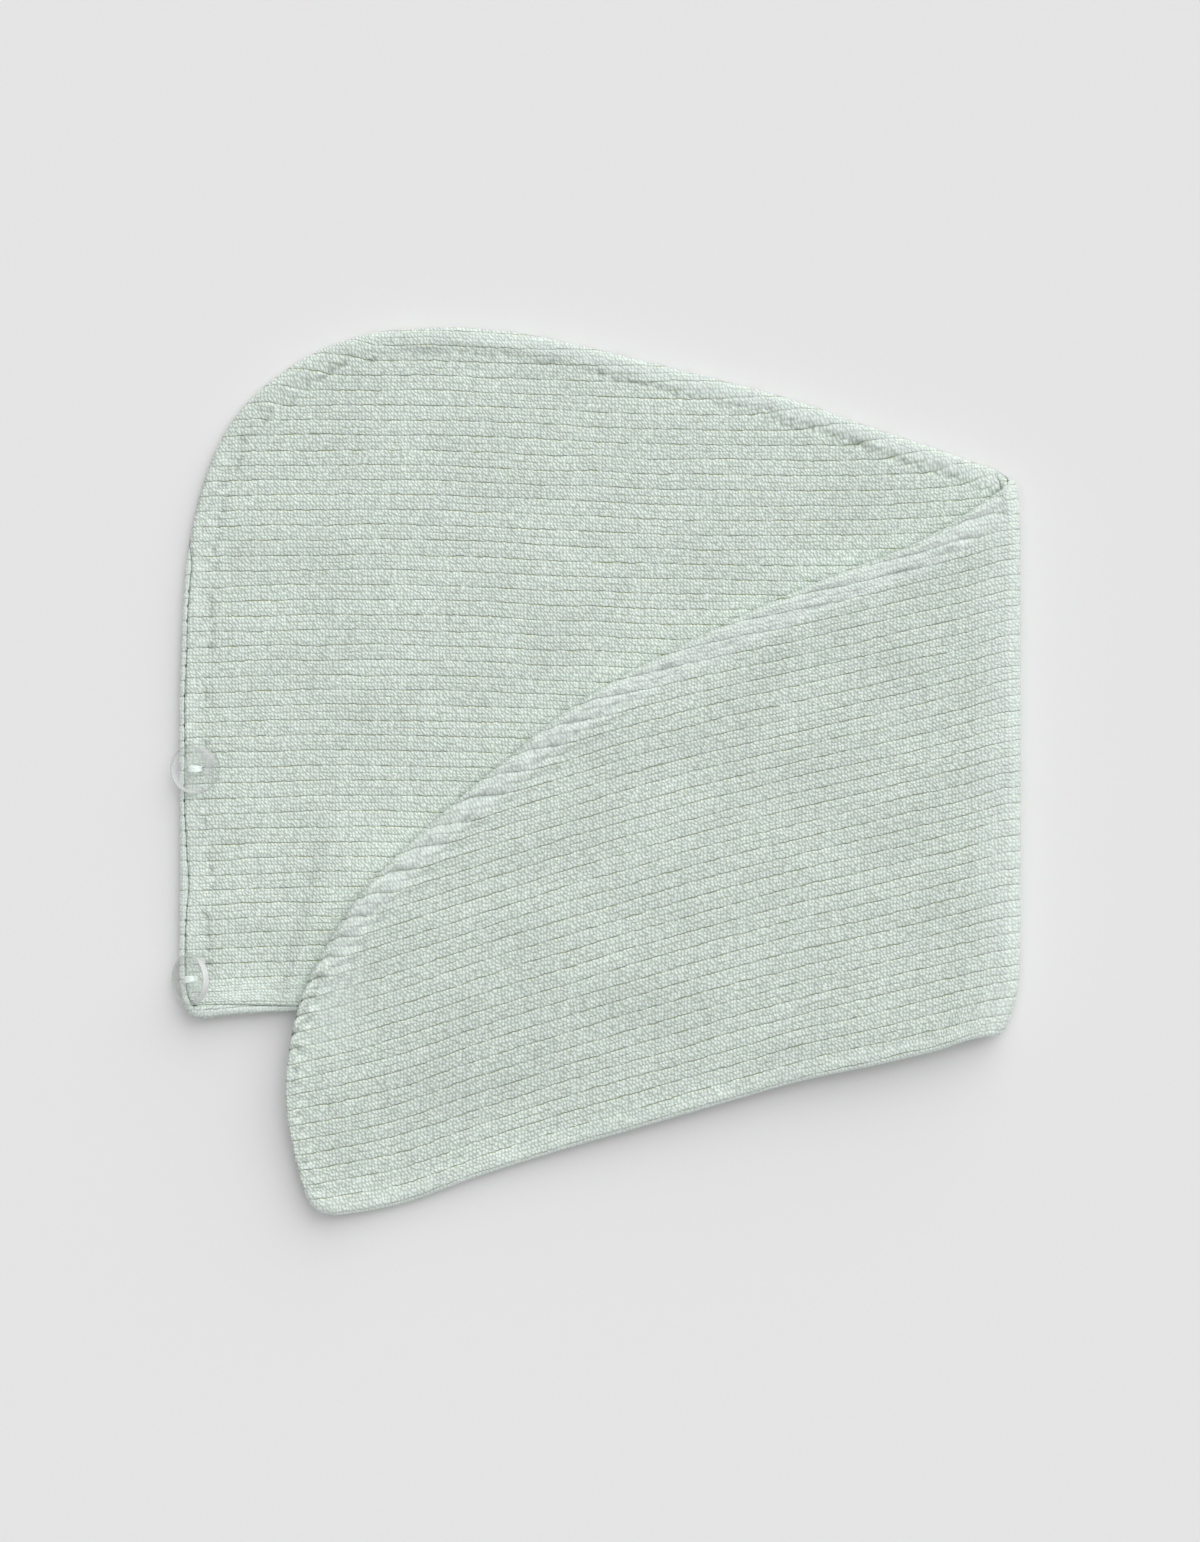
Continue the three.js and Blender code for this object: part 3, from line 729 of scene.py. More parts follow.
@dataclass
class Lattice:
    """Fills the inside of a ring with rows of vertices that follow the rib lines."""

    mesh: ClothMesh
    plan: FoldPlan
    outline: Outline
    row_pitch: float
    column_pitch: float
    sparse: int
    flip: bool
    snap: float = 0.15
    clearance: float = 0.4
    first_column: int = -220
    end_column: int = 620

    def wanted(self, station: np.ndarray, y: np.ndarray) -> np.ndarray:
        """Which columns are kept on a row. The base lattice keeps each one.

        Args:
            station: The columns.
            y: Their heights; not used here.

        Returns:
            True where one is kept.
        """
        return np.ones(len(station), bool)

    def fill(self, before: np.ndarray, ring: np.ndarray, ring_at: np.ndarray, first_row: float) -> None:
        """Fills a ring, and joins it to the ring before it.

        Args:
            before: The next ring further out, with as many vertices.
            ring: The ring to fill.
            ring_at: Its places on the flat towel, one row each.
            first_row: The first rib line that lies all inside the ring.
        """
        side, count = self.outline.side, len(ring)
        lines = self.plan.line_at(side, ring_at[:, 0], ring_at[:, 1])
        apex = int(lines.argmax())
        rows = np.arange(first_row, lines[apex] - self.clearance * self.row_pitch, self.row_pitch)
        turned = np.roll(np.arange(count), -apex)
        down = turned[: int(np.argmax(lines[turned] < first_row)) + 1]
        up = turned[::-1][: int(np.argmax(lines[turned[::-1]] < first_row)) + 1]
        left = self._crossings(down, lines, ring_at, rows)
        right = self._crossings(up, lines, ring_at, rows)
        ends: list[dict] = []
        for crossings in (left, right):
            made = {}
            for row, (at_arc, station, height, near) in enumerate(crossings):
                if near is not None:
                    made[row] = (at_arc, station, int(ring[near]))
                else:
                    index = self.mesh.add([station], [height], [-1.0], [int(at_arc) % count])[0]
                    made[row] = (at_arc, station, int(index))
            ends.append(made)
        inserted = {v for made in ends for (_, _, v) in made.values()} - set(ring.tolist())
        closed = [(float(i), float(ring_at[i, 0]), int(v)) for i, v in enumerate(ring)]
        closed += [(arc, s, v) for made in ends for (arc, s, v) in made.values() if v in inserted]
        closed.sort()
        self._rows(closed, ends, rows)
        outer = [(float(i), int(v)) for i, v in enumerate(before)] + [(float(count), int(before[0]))]
        inner = [(arc, v) for arc, _, v in closed] + [(float(count), int(ring[0]))]
        self.mesh.zip(outer, inner, self.flip)

    def _crossings(
        self, chain: np.ndarray, lines: np.ndarray, ring_at: np.ndarray, rows: np.ndarray
    ) -> list:
        """Finds where rib lines cross one side of the ring.

        Args:
            chain: The ring's points from the apex down that side.
            lines: Each point's rib line.
            ring_at: Each point's place.
            rows: The rib lines to find.

        Returns:
            For each one its arc, station, height, and the ring's own point if one is there.
        """
        values = np.minimum.accumulate(lines[chain])
        found = []
        step = 1 if (chain[1] - chain[0]) % len(lines) == 1 else -1
        for row in rows:
            k = int(np.argmax(values < row))
            high, low = values[k - 1], values[k]
            t = (high - row) / max(high - low, 1e-9)
            a, b = chain[k - 1], chain[k]
            place = ring_at[a] * (1 - t) + ring_at[b] * t
            near = None
            if t * self.outline.spacing < self.snap:
                near = a
            elif (1 - t) * self.outline.spacing < self.snap:
                near = b
            arc = (a + step * t) % len(lines) if near is None else float(near)
            found.append((float(arc), float(place[0]), float(place[1]), near))
        return found

    def _rows(self, closed: list, ends: list, rows: np.ndarray) -> None:
        """Makes the rows' vertices and the triangles between them.

        Args:
            closed: The ring as arc, station and vertex, sorted by arc.
            ends: For the left and the right side, each row's arc, station and vertex there.
            rows: The rib lines.
        """
        left, right = ends
        order = [v for _, _, v in closed]
        stations = {v: s for _, s, v in closed}
        place = {v: i for i, v in enumerate(order)}

        def between(start: int, end: int) -> list:
            """Lists the ring's vertices between two of them, anticlockwise.

            Args:
                start: The vertex before the first.
                end: The vertex after the last.

            Returns:
                The vertices, each after its station.
            """
            i, found = (place[start] + 1) % len(order), []
            while order[i] != end:
                found.append((stations[order[i]], order[i]))
                i = (i + 1) % len(order)
            return found

        columns = self.column_pitch * np.arange(self.first_column, self.end_column)
        margin = self.clearance * self.column_pitch
        made = []
        for row, line in enumerate(rows):
            start, end = left[row][1], right[row][1]
            inside = (columns > start + margin) & (columns < end - margin)
            station = columns[inside]
            y = self.plan.line_height(self.outline.side, station, np.full(len(station), line))
            number = np.round(station / self.column_pitch).astype(int)
            kept = self.wanted(station, y) | (number % self.sparse == 0)
            unknown = np.full(kept.sum(), -1.0)
            index = self.mesh.add(station[kept], y[kept], unknown, 0 * unknown)
            middle = list(zip(station[kept].tolist(), index.tolist()))
            made.append([(start, left[row][2]), *middle, (end, right[row][2])])
        self.mesh.zip(between(left[0][2], right[0][2]), made[0], self.flip)
        for row in range(len(rows) - 1):
            below, above = list(made[row]), list(made[row + 1])
            (_, right_at, right_end), (_, next_right_at, next_right_end) = right[row], right[row + 1]
            (_, left_at, left_end), (_, next_left_at, next_left_end) = left[row], left[row + 1]
            rising = between(right_end, next_right_end) if right_end != next_right_end else []
            falling = between(next_left_end, left_end) if left_end != next_left_end else []
            if next_right_at < right_at:
                above += rising[::-1]
            else:
                below += rising
            if next_left_at > left_at:
                above = falling[::-1] + above
            else:
                below = falling + below
            self.mesh.zip(below, above, self.flip)
        top = len(rows) - 1
        self.mesh.zip(made[top], between(right[top][2], left[top][2])[::-1], self.flip)


@dataclass
class ShownLattice(Lattice):
    """A lattice that is close where the cloth shows and sparse where it is covered or faces the floor."""

    cover_margin: float = 6.0
    turn_margin: float = 9.0

    def wanted(self, station: np.ndarray, y: np.ndarray) -> np.ndarray:
        """Keeps each column where the cloth shows from above, and in the turn.

        Args:
            station: The columns.
            y: Their heights.

        Returns:
            True where one is kept.
        """
        plan = self.plan
        before_end = station < plan.turn_end + self.turn_margin
        near_turn = (station > plan.axis_x - self.turn_margin) & before_end
        if self.outline.side is Side.LOWER:
            return near_turn | (station > plan.axis_x)
        furthest = min(TAIL_EDGE)
        edge = np.array(sorted(TAIL_EDGE[: TAIL_EDGE.index(furthest) + 1]))
        cover = np.interp(station, edge[:, 0], edge[:, 1])
        shows = (y > cover - self.cover_margin) | (station < furthest.x + self.cover_margin)
        return near_turn | (shows & (station < plan.axis_x))


def vertex_normals(places: np.ndarray, faces: np.ndarray) -> np.ndarray:
    """Averages the faces' normals at each vertex.

    Args:
        places: The vertices, one row each.
        faces: The triangles, one row each.

    Returns:
        Unit normals, one row each.
    """
    a, b, c = (places[faces[:, k]] for k in range(3))
    flat = np.cross(b - a, c - a)
    normals = np.zeros_like(places)
    for k in range(3):
        for axis in range(3):
            normals[:, axis] += np.bincount(faces[:, k], weights=flat[:, axis], minlength=len(places))
    return normals / np.maximum(np.linalg.norm(normals, axis=1), 1e-12)[:, None]


@dataclass(frozen=True)
class RibKnit:
    """The knit's relief: a fine rib, each second groove of it deeper, slightly uneven as worked yarn is."""

    rib: float = 3.0
    groove_depth: float = 0.08
    groove_width: float = 0.62
    strong_depth: float = 0.18
    strong_width: float = 0.65
    groove_vary: float = 0.6
    strong_vary: float = 0.45
    wander: float = 0.42
    jitter: float = 0.16
    bulge: float = 0.45

    def drift(self, station: np.ndarray, row: np.ndarray) -> np.ndarray:
        """How far the rib lines stray sideways.

        Args:
            station: Where along the towel.
            row: The rib line.

        Returns:
            The drift there.
        """
        slow = GentleNoise(11, 22.0, 9.0).at(station, row)
        quick = GentleNoise(12, 4.5, 2.6).at(station, row)
        return self.wander * slow + self.jitter * quick

    def relief(self, station: np.ndarray, row: np.ndarray, deepen: np.ndarray) -> np.ndarray:
        """How far the cloth lies below its ribs' tops.

        Args:
            station: Where along the towel.
            row: The rib line, with its drift.
            deepen: How much deeper the deep grooves are pulled.

        Returns:
            Depths, zero or below.
        """
        fine = np.abs(row - self.rib * np.round(row / self.rib))
        strong = np.abs(row - 2 * self.rib * np.round(row / (2 * self.rib)))
        vary = 1.0 + self.strong_vary * GentleNoise(13, 17.0, 6.0).at(station, row)
        shallow = 1.0 + self.groove_vary * GentleNoise(14, 9.0, 3.0).at(station, row)
        depth = self.groove_depth * shallow * np.exp(-((fine / self.groove_width) ** 2))
        depth += self.strong_depth * vary * deepen * np.exp(-((strong / self.strong_width) ** 2))
        return -depth

    def petals(self, row: np.ndarray) -> np.ndarray:
        """How far a rolled seam is pulled in between the bulges that the ribs make of it.

        Args:
            row: The rib line, with its drift.

        Returns:
            From 0 on top of a bulge to 1 between two.
        """
        apart = np.abs(row / (2 * self.rib) - np.round(row / (2 * self.rib)))
        return 1 - np.sin(np.pi * apart) ** self.bulge


class OvalPlace(NamedTuple):
    """An oval place on the flat towel where the cloth is pulled in, or its knit is calmer."""

    station: float
    y: float
    half_length: float
    half_width: float
    turn: float
    amount: float

    def at(self, station: np.ndarray, y: np.ndarray) -> np.ndarray:
        """Reads how much of it there is, most in the middle.

        Args:
            station: Where along the towel.
            y: Height on the flat towel.

        Returns:
            The amounts.
        """
        turn = math.radians(self.turn)
        along = (station - self.station) * math.cos(turn) + (y - self.y) * math.sin(turn)
        across = (y - self.y) * math.cos(turn) - (station - self.station) * math.sin(turn)
        return self.amount * np.exp(-((along / self.half_length) ** 2) - (across / self.half_width) ** 2)


PRESSED_PLACES = {
    Side.UPPER: [
        OvalPlace(-158.5, 1.0, 8.0, 9.0, 0.0, 0.9),
        OvalPlace(-158.5, -83.0, 8.0, 9.0, 0.0, 0.8),
        OvalPlace(-50.5, 169.8, 11.0, 1.2, -4.0, 0.45),
        OvalPlace(-48.0, 160.8, 7.0, 1.1, 5.0, 0.4),
        OvalPlace(-39.3, 155.5, 2.2, 0.9, 80.0, 0.6),
        OvalPlace(-142.0, 132.5, 2.4, 1.6, 40.0, 0.6),
        OvalPlace(68.3, 144.6, 3.2, 1.4, -25.0, 0.6),
        OvalPlace(89.5, 136.6, 3.4, 1.4, -20.0, 0.6),
        OvalPlace(104.7, 131.4, 3.0, 1.4, -30.0, 0.6),
        OvalPlace(119.5, 125.0, 3.2, 1.3, -12.0, 0.6),
        OvalPlace(137.5, 120.8, 3.4, 1.4, -25.0, 0.6),
    ],
    Side.LOWER: [
        OvalPlace(448.3, -75.4, 1.6, 3.0, 20.0, 0.7),
        OvalPlace(451.5, -84.6, 1.6, 2.6, 15.0, 0.7),
        OvalPlace(453.3, -91.6, 1.6, 2.4, 15.0, 0.7),
        OvalPlace(456.9, -99.0, 1.6, 2.4, 15.0, 0.6),
    ],
}
CALM_PLACES = {
    Side.UPPER: [OvalPlace(-134.0, -88.0, 22.0, 4.0, 0.0, 0.6)],
    Side.LOWER: [OvalPlace(442.6, -92.0, 10.0, 21.0, 12.0, 0.8)],
}
# Painted light and shade: oval places where the cloth's colour is made lighter or darker, standing in for how
# the light falls on the drape and the slopes.
PAINTED_LIGHT_AND_SHADE_PLACES = {
    Side.UPPER: [
        OvalPlace(0.0, 96.0, 60.0, 12.0, 12.0, 0.02),
        OvalPlace(-134.0, -97.0, 26.0, 6.0, 0.0, -0.05),
    ],
    Side.LOWER: [
        OvalPlace(350.0, -141.0, 85.0, 17.0, -16.0, 0.07),
        OvalPlace(392.0, -146.0, 30.0, 12.0, -16.0, 0.03),
        OvalPlace(436.0, -113.0, 13.0, 18.0, 0.0, 0.06),
        OvalPlace(352.0, -95.0, 75.0, 12.0, 0.0, -0.05),
        OvalPlace(405.0, -64.0, 20.0, 12.0, 0.0, -0.03),
    ],
}


class SeamLook(NamedTuple):
    """How the knit is changed along the rolled seams, at each vertex."""

    apart: np.ndarray
    dent: np.ndarray
    calm: np.ndarray
    curl: np.ndarray
    rope: np.ndarray
    line: np.ndarray
    mark: np.ndarray
    fuzz_and_highlight: np.ndarray


@dataclass(frozen=True)
class PaleEdgesAndHighlights:
    """How pale the pile is along each stretch of edge, and over which distances from it: the pile's pale fuzz
    together with a painted highlight where the rolled edges catch the light.
    """

    crown: float = 0.14
    crown_more: float = 0.2
    crown_reach: float = 3.5
    crown_reach_more: float = 5.0
    crown_more_from: Ramp = Ramp(-110.0, 70.0)
    crown_rise: Ramp = Ramp(0.3, 3.0)
    crown_fade: float = 3.5
    hem: float = 0.2
    back: float = 0.12
    back_rise: Ramp = Ramp(1.0, 2.0)
    back_fall: Ramp = Ramp(7.5, -3.0)
    tail: float = 0.34
    tail_less: float = 0.06
    tail_reach: float = 13.0
    tail_reach_less: float = 1.0
    tail_less_from: Ramp = Ramp(300.0, 90.0)
    tail_rise: Ramp = Ramp(0.1, 2.9)
    tail_fade: float = 3.0
    tip_from: Ramp = Ramp(442.0, 12.0)
    bottom: float = 0.14
    bottom_edge: float = 0.55
    bottom_fall: Ramp = Ramp(2.4, -1.8)
    bottom_reach: float = 8.0
    turn: float = 0.24
    turn_fall: Ramp = Ramp(196.0, -16.0)
    rolled: float = 0.4
    rolled_fall: Ramp = Ramp(5.0, -2.0)


@dataclass
class ClothPanel:
    """One of the two matching panels of the towel, as a closed cloth.

    Its outside and its inside are rings of vertices along the outline, filled with rows along the ribs. The
    lower panel has more rings where its edge is rolled up round the upper one's, here called wraps.
    """

    plan: FoldPlan
    side: Side
    knit: RibKnit = field(default_factory=RibKnit)
    pale: PaleEdgesAndHighlights = field(default_factory=PaleEdgesAndHighlights)
    outline: Outline = field(init=False)

    rings: tuple[float, ...] = (0.0, 0.2, 0.65, 1.3, 2.1, 3.1, 4.2, 5.2)
    inner_rings: tuple[float, ...] = (0.35, 1.2, 5.6)
    inner_ring_gap: float = 0.15
    inner_ring_spread: float = 0.25
    first_row: float = 6.0
    hem_first_row: float = 8.4
    inner_row_step: float = 0.6
    row_pitch: float = 0.75
    column_pitch: float = 1.1
    hidden_columns: int = 8
    floor_columns: int = 12
    inner_row_pitch: float = 6.0
    inner_column_pitch: float = 8.8

    wrap_insets: tuple[float, ...] = (0.08, 0.25, 0.5, 0.75, 0.92, 1.0)
    wrap_rises: tuple[float, ...] = (2.0, 2.8, 3.1, 3.2, 3.2, 3.1)
    wrap_spacing: float = 0.02
    wrap_clearance: float = 0.1
    wrap_widening: float = 3.0
    hem_wrap: float = 0.78
    hem_wrap_more: float = 0.17
    hem_wrap_more_from: Ramp = Ramp(-112.0, -45.0)
    hem_wrap_from: Ramp = Ramp(-60.0, -40.0)
    hem_rise: float = 0.56

    hood_phase: float = 2.4
    hood_phase_more: float = 1.6
    hood_phase_from: Ramp = Ramp(115.0, -60.0)
    tail_phase: float = 3.6
    tail_phase_more: float = 0.8
    tail_phase_from: Ramp = Ramp(210.0, 80.0)

    sewn_roll: float = 0.24
    back_roll: float = 0.6
    hem_roll: float = 0.7
    pocket_opens: Ramp = Ramp(2.0, 7.0)

    low_band: float = 12.0
    nearly_along_ribs: Ramp = Ramp(0.955, 0.03)
    shallow_slant: Ramp = Ramp(0.5, 0.3)
    ridge: float = 1.0
    crown_ridge: float = 0.35
    bottom_ridge: float = 0.5
    ridge_from: float = 5.0
    ridge_full: float = 22.0
    plain_slope: float = 0.4
    ridge_slope: float = 1.1
    ridge_further: float = 0.9
    ridge_vary: float = 0.35
    ridge_slow_vary: float = 0.3
    scallop: float = 0.16

    ditch: float = 0.1
    crown_dip: float = 0.13
    ditch_spread: float = 1.6
    hem_keeps: float = 0.8
    crown_ditch: float = 10.2
    crown_ditch_at_fold: float = 9.2
    crown_to_fold: Ramp = Ramp(0.0, 120.0)
    back_ditch_step: float = 1.0
    tail_ditch: float = 9.5
    tip_ditch: float = 3.6
    tip_to_tail: Ramp = Ramp(0.4, 0.55)
    bottom_ditch: float = 8.6
    ditch_stray: float = 0.5
    ditch_average: int = 6

    dent: float = 1.8
    dent_reach: float = 0.13
    dent_reach_shallow: float = 0.2
    seam_calm: float = 0.2
    calm_from: float = 0.75
    calm_fade: float = 0.3
    calm_flattens: float = 0.8
    curl: float = -2.6
    curl_start: float = 1.2
    curl_reach: float = 1.1

    petal: float = 1.4
    petal_beyond: float = 3.0
    petal_fade: float = 4.0
    petal_from: Ramp = Ramp(0.0, 1.5)
    petal_even: float = 0.8
    petal_vary: float = 0.7
    petal_limits: tuple[float, float] = (0.1, 1.3)
    tip_petal: float = 1.0
    tip_petal_beyond: float = 1.6
    tip_petal_fade: float = 2.4
    tip_petal_from: Ramp = Ramp(-118.0, 14.0)
    braid_line: float = 5.0
    braid_depth: float = 0.8
    braid_width: float = 0.7
    braid_stray: float = 0.7
    braid_beside: float = 0.7
    braid_even: float = 0.6
    braid_vary: float = 0.9

    mark: float = 0.5
    mark_width: float = 1.8
    mark_chance: Ramp = Ramp(0.25, 0.4)
    # Painted shade: how much darker the dent marks and the grooves between the seam's petals are painted.
    mark_shade: float = 0.28
    pulled_shade: float = 0.16
    pulled_limit: float = 1.5
    covered_relief: float = 0.4
    floor_gap: float = 0.02

    swell: float = 0.45
    small_swell: float = 0.35
    swell_from: Ramp = Ramp(3.0, 12.0)

    def __post_init__(self) -> None:
        """Draws the panel's outline."""
        self.outline = Outline(self.plan, self.side)

    def build(self, finish: "Finish") -> bpy.types.Object:
        """Makes the panel.

        Args:
            finish: What it is made of.

        Returns:
            The finished piece.
        """
        mesh = ClothMesh()
        upper = self.side is Side.UPPER
        first_row = self.hem_first_row if upper else self.first_row
        sparse = self.hidden_columns if upper else self.floor_columns
        count = len(self.outline.points)
        outside = [self._ring(mesh, np.full(count, inset)) for inset in self.rings]
        outer_ids = [ids for ids, _ in outside]
        mesh.bands(outer_ids[:-1], flip=not upper)
        pitches = self.row_pitch, self.column_pitch
        shown = ShownLattice(mesh, self.plan, self.outline, *pitches, sparse, flip=not upper)
        shown.fill(outer_ids[-2], *outside[-1], first_row)
        outer_count = mesh.count
        share, width = self._wrap()
        inside = []
        for k, inset in enumerate(() if upper else self.wrap_insets):
            inside.append(self._ring(mesh, inset * width + self.wrap_spacing * (k + 1)))
        wrap_count = mesh.count
        for inset in self.inner_rings:
            steps = np.maximum(inset, width + self.inner_ring_gap + self.inner_ring_spread * inset)
            inside.append(self._ring(mesh, steps))
        inner_ids = [outer_ids[0]] + [ids for ids, _ in inside]
        mesh.bands(inner_ids[:-1], flip=upper)
        pitches = self.inner_row_pitch, self.inner_column_pitch
        plain = Lattice(mesh, self.plan, self.outline, *pitches, 1, flip=upper)
        plain.fill(inner_ids[-2], *inside[-1], first_row + self.inner_row_step)
        return self._finished(mesh, outer_count, wrap_count, share, finish)

    def _ring(self, mesh: ClothMesh, steps: np.ndarray) -> tuple[np.ndarray, np.ndarray]:
        """Adds a ring of vertices along the outline.

        Args:
            mesh: What they are added to.
            steps: How far inside the outline each one lies.

        Returns:
            The vertices' numbers, and their places on the flat towel.
        """
        at = self.outline.points + self.outline.inward * steps[:, None]
        return mesh.add(at[:, 0], at[:, 1], steps, np.arange(len(at))), at

    def _wrap(self) -> tuple[np.ndarray, np.ndarray]:
        """Works out how the lower panel's edge is rolled up, at each point of the outline.

        Returns:
            How far it is rolled up, from 0 to 1, and how wide the roll is.
        """
        outline = self.outline
        station = outline.points[:, 0]
        at_hem = self.hem_wrap + self.hem_wrap_more * self.hem_wrap_more_from.at(station)
        share = outline.back_share + at_hem * outline.open_share * self.hem_wrap_from.at(station)
        share = np.clip(share, 0, 1)
        step = 0.0 if self.side is Side.UPPER else np.maximum(outline.step_back - self.wrap_clearance, 0.0)
        return share, smooth(self.wrap_widening * share) * step

    def _finished(
        self, mesh: ClothMesh, outer_count: int, wrap_count: int, wrap_share: np.ndarray, finish: "Finish"
    ) -> bpy.types.Object:
        """Lifts the flat mesh into layers, folds it, adds the knit and makes the object.

        Args:
            mesh: The flat mesh.
            outer_count: How many of the vertices are the outer face's.
            wrap_count: Up to which vertex the rolled edge's go.
            wrap_share: How far the lower panel's edge is rolled over, at each edge point.
            finish: What the panel is made of.

        Returns:
            The finished piece.
        """
        plan, side, outline = self.plan, self.side, self.outline
        spot, faces = mesh.spot(), np.vstack(mesh.faces)
        missing = spot.inset < 0
        found = outline.nearest(np.stack([spot.station[missing], spot.y[missing]], axis=1))
        spot.inset[missing], spot.edge_point[missing] = found
        number = np.arange(mesh.count)
        is_outer = number < outer_count
        is_wrap = (number >= outer_count) & (number < wrap_count)
        row = plan.line_at(side, spot.station, spot.y)
        ditch_at = self._ditch_line()[spot.edge_point]
        ribs = row + self.knit.drift(spot.station, row) + self._phase(spot.station, row)
        seam = self._seam(spot, ditch_at)
        layer = np.where(is_outer, self._outer_layer(spot, ditch_at, ribs, seam), self._inner_layer(spot))
        if side is Side.LOWER:
            k = np.clip((number - outer_count) // len(outline.points), 0, len(self.wrap_rises) - 1)
            taller = 1 + self.hem_rise * outline.open_share[spot.edge_point]
            rise = np.array(self.wrap_rises)[k] * wrap_share[spot.edge_point] * taller
            layer = np.where(is_wrap, self._edge_layer()[spot.edge_point] + rise, layer)
        places = plan.fold(spot.station, spot.y, layer)
        ribs = ribs + seam.curl
        calm = sum(place.at(spot.station, spot.y) for place in CALM_PLACES[side])
        calm = np.clip(np.maximum(calm, seam.calm), 0, 1)
        relief = self.knit.relief(spot.station, ribs, 1 + self.dent * seam.dent)
        relief = relief * (1 - self.calm_flattens * calm)
        pulled = self.knit.petals(ribs) * seam.rope + seam.line
        relief = relief - pulled - self.mark * seam.mark
        covered = (spot.station > plan.turn_end) if side is Side.UPPER else (spot.station < plan.axis_x)
        faint = ~(is_outer | is_wrap) | (is_outer & covered & (spot.inset > ditch_at))
        relief = np.where(faint, self.covered_relief, 1.0) * relief
        places = places + vertex_normals(places, faces) * relief[:, None]
        places[:, 2] = np.maximum(places[:, 2], self.floor_gap)
        along = spot.station if side is Side.UPPER else -spot.station
        # The tone attribute is painted light and shade: the painted places, and painted shade in the seam's
        # dent marks and in the grooves between its petals.
        tone = 1 + sum(place.at(spot.station, spot.y) for place in PAINTED_LIGHT_AND_SHADE_PLACES[side])
        tone = tone - self.mark_shade * seam.mark - self.pulled_shade * np.minimum(pulled, self.pulled_limit)
        looks = {"calm": calm, "fuzz_and_highlight": np.where(is_outer | is_wrap, seam.fuzz_and_highlight, 0.0), "tone": tone}
        return make_cloth(side.value + "_cloth", places * MM, faces, along, ribs, looks, finish)

    def _phase(self, station: np.ndarray, row: np.ndarray) -> np.ndarray:
        """How far the deep grooves lie from the rib lines that the panel is laid out on.

        Args:
            station: Where along the towel.
            row: The rib line.

        Returns:
            The distances.
        """
        if self.side is Side.UPPER:
            return self.hood_phase + self.hood_phase_more * self.hood_phase_from.at(row)
        return self.tail_phase + self.tail_phase_more * self.tail_phase_from.at(station)

    def _ditch_line(self) -> np.ndarray:
        """How far inside the edge the seam pulls the cloth in, at each point of the outline.

        Returns:
            The distances.
        """
        outline = self.outline
        station = outline.points[:, 0]
        to_fold = self.crown_ditch_at_fold - self.crown_ditch
        crown = self.crown_ditch + to_fold * self.crown_to_fold.at(station)
        crown = crown - (self.back_ditch_step if self.side is Side.UPPER else 0.0) * outline.back_share
        to_tail = self.tail_ditch - self.tip_ditch
        tail = self.tip_ditch + to_tail * self.tip_to_tail.at(outline.along_ribs)
        line = np.where(station > self.plan.turn_end, tail, crown)
        line = np.where(outline.on_bottom(), self.bottom_ditch, line)
        line = line + self.ditch_stray * GentleNoise(41, 11.0).at(outline.arc)
        reach = self.ditch_average
        weights = np.hanning(2 * reach + 1)
        weights /= weights.sum()
        return sum(w * np.roll(line, k) for k, w in zip(range(-reach, reach + 1), weights))

    def _edge_layer(self) -> np.ndarray:
        """Works out the layer height of the panel's edge.

        Returns:
            The height at each point of the outline.
        """
        plan, upper = self.plan, self.side is Side.UPPER
        sewn = plan.stack / 2 + (plan.seam_gap / 2 if upper else -plan.seam_gap / 2)
        hem = plan.stack - plan.ply / 2 if upper else plan.ply / 2
        return sewn + (hem - sewn) * self.outline.open_share

    def _inner_layer(self, spot: Spot) -> np.ndarray:
        """Layer height of the panel's inside.

        Args:
            spot: The vertices.

        Returns:
            The layer heights.
        """
        plan = self.plan
        base = self._edge_layer()[spot.edge_point]
        sign = 1 if self.side is Side.UPPER else -1
        gap = plan.seam_gap + (plan.pocket_gap - plan.seam_gap) * self.pocket_opens.at(spot.inset)
        flat = plan.stack / 2 + sign * gap / 2
        return base + (flat - base) * quarter_round(spot.inset / self.hem_roll)

    def _shows(self, station: np.ndarray) -> np.ndarray:
        """Where the panel's outside shows from above, apart from the turn.

        Args:
            station: Where along the towel.

        Returns:
            True in the hood for the upper panel, and on the tail for the lower one.
        """
        return (station < self.plan.axis_x) if self.side is Side.UPPER else (station > self.plan.turn_end)

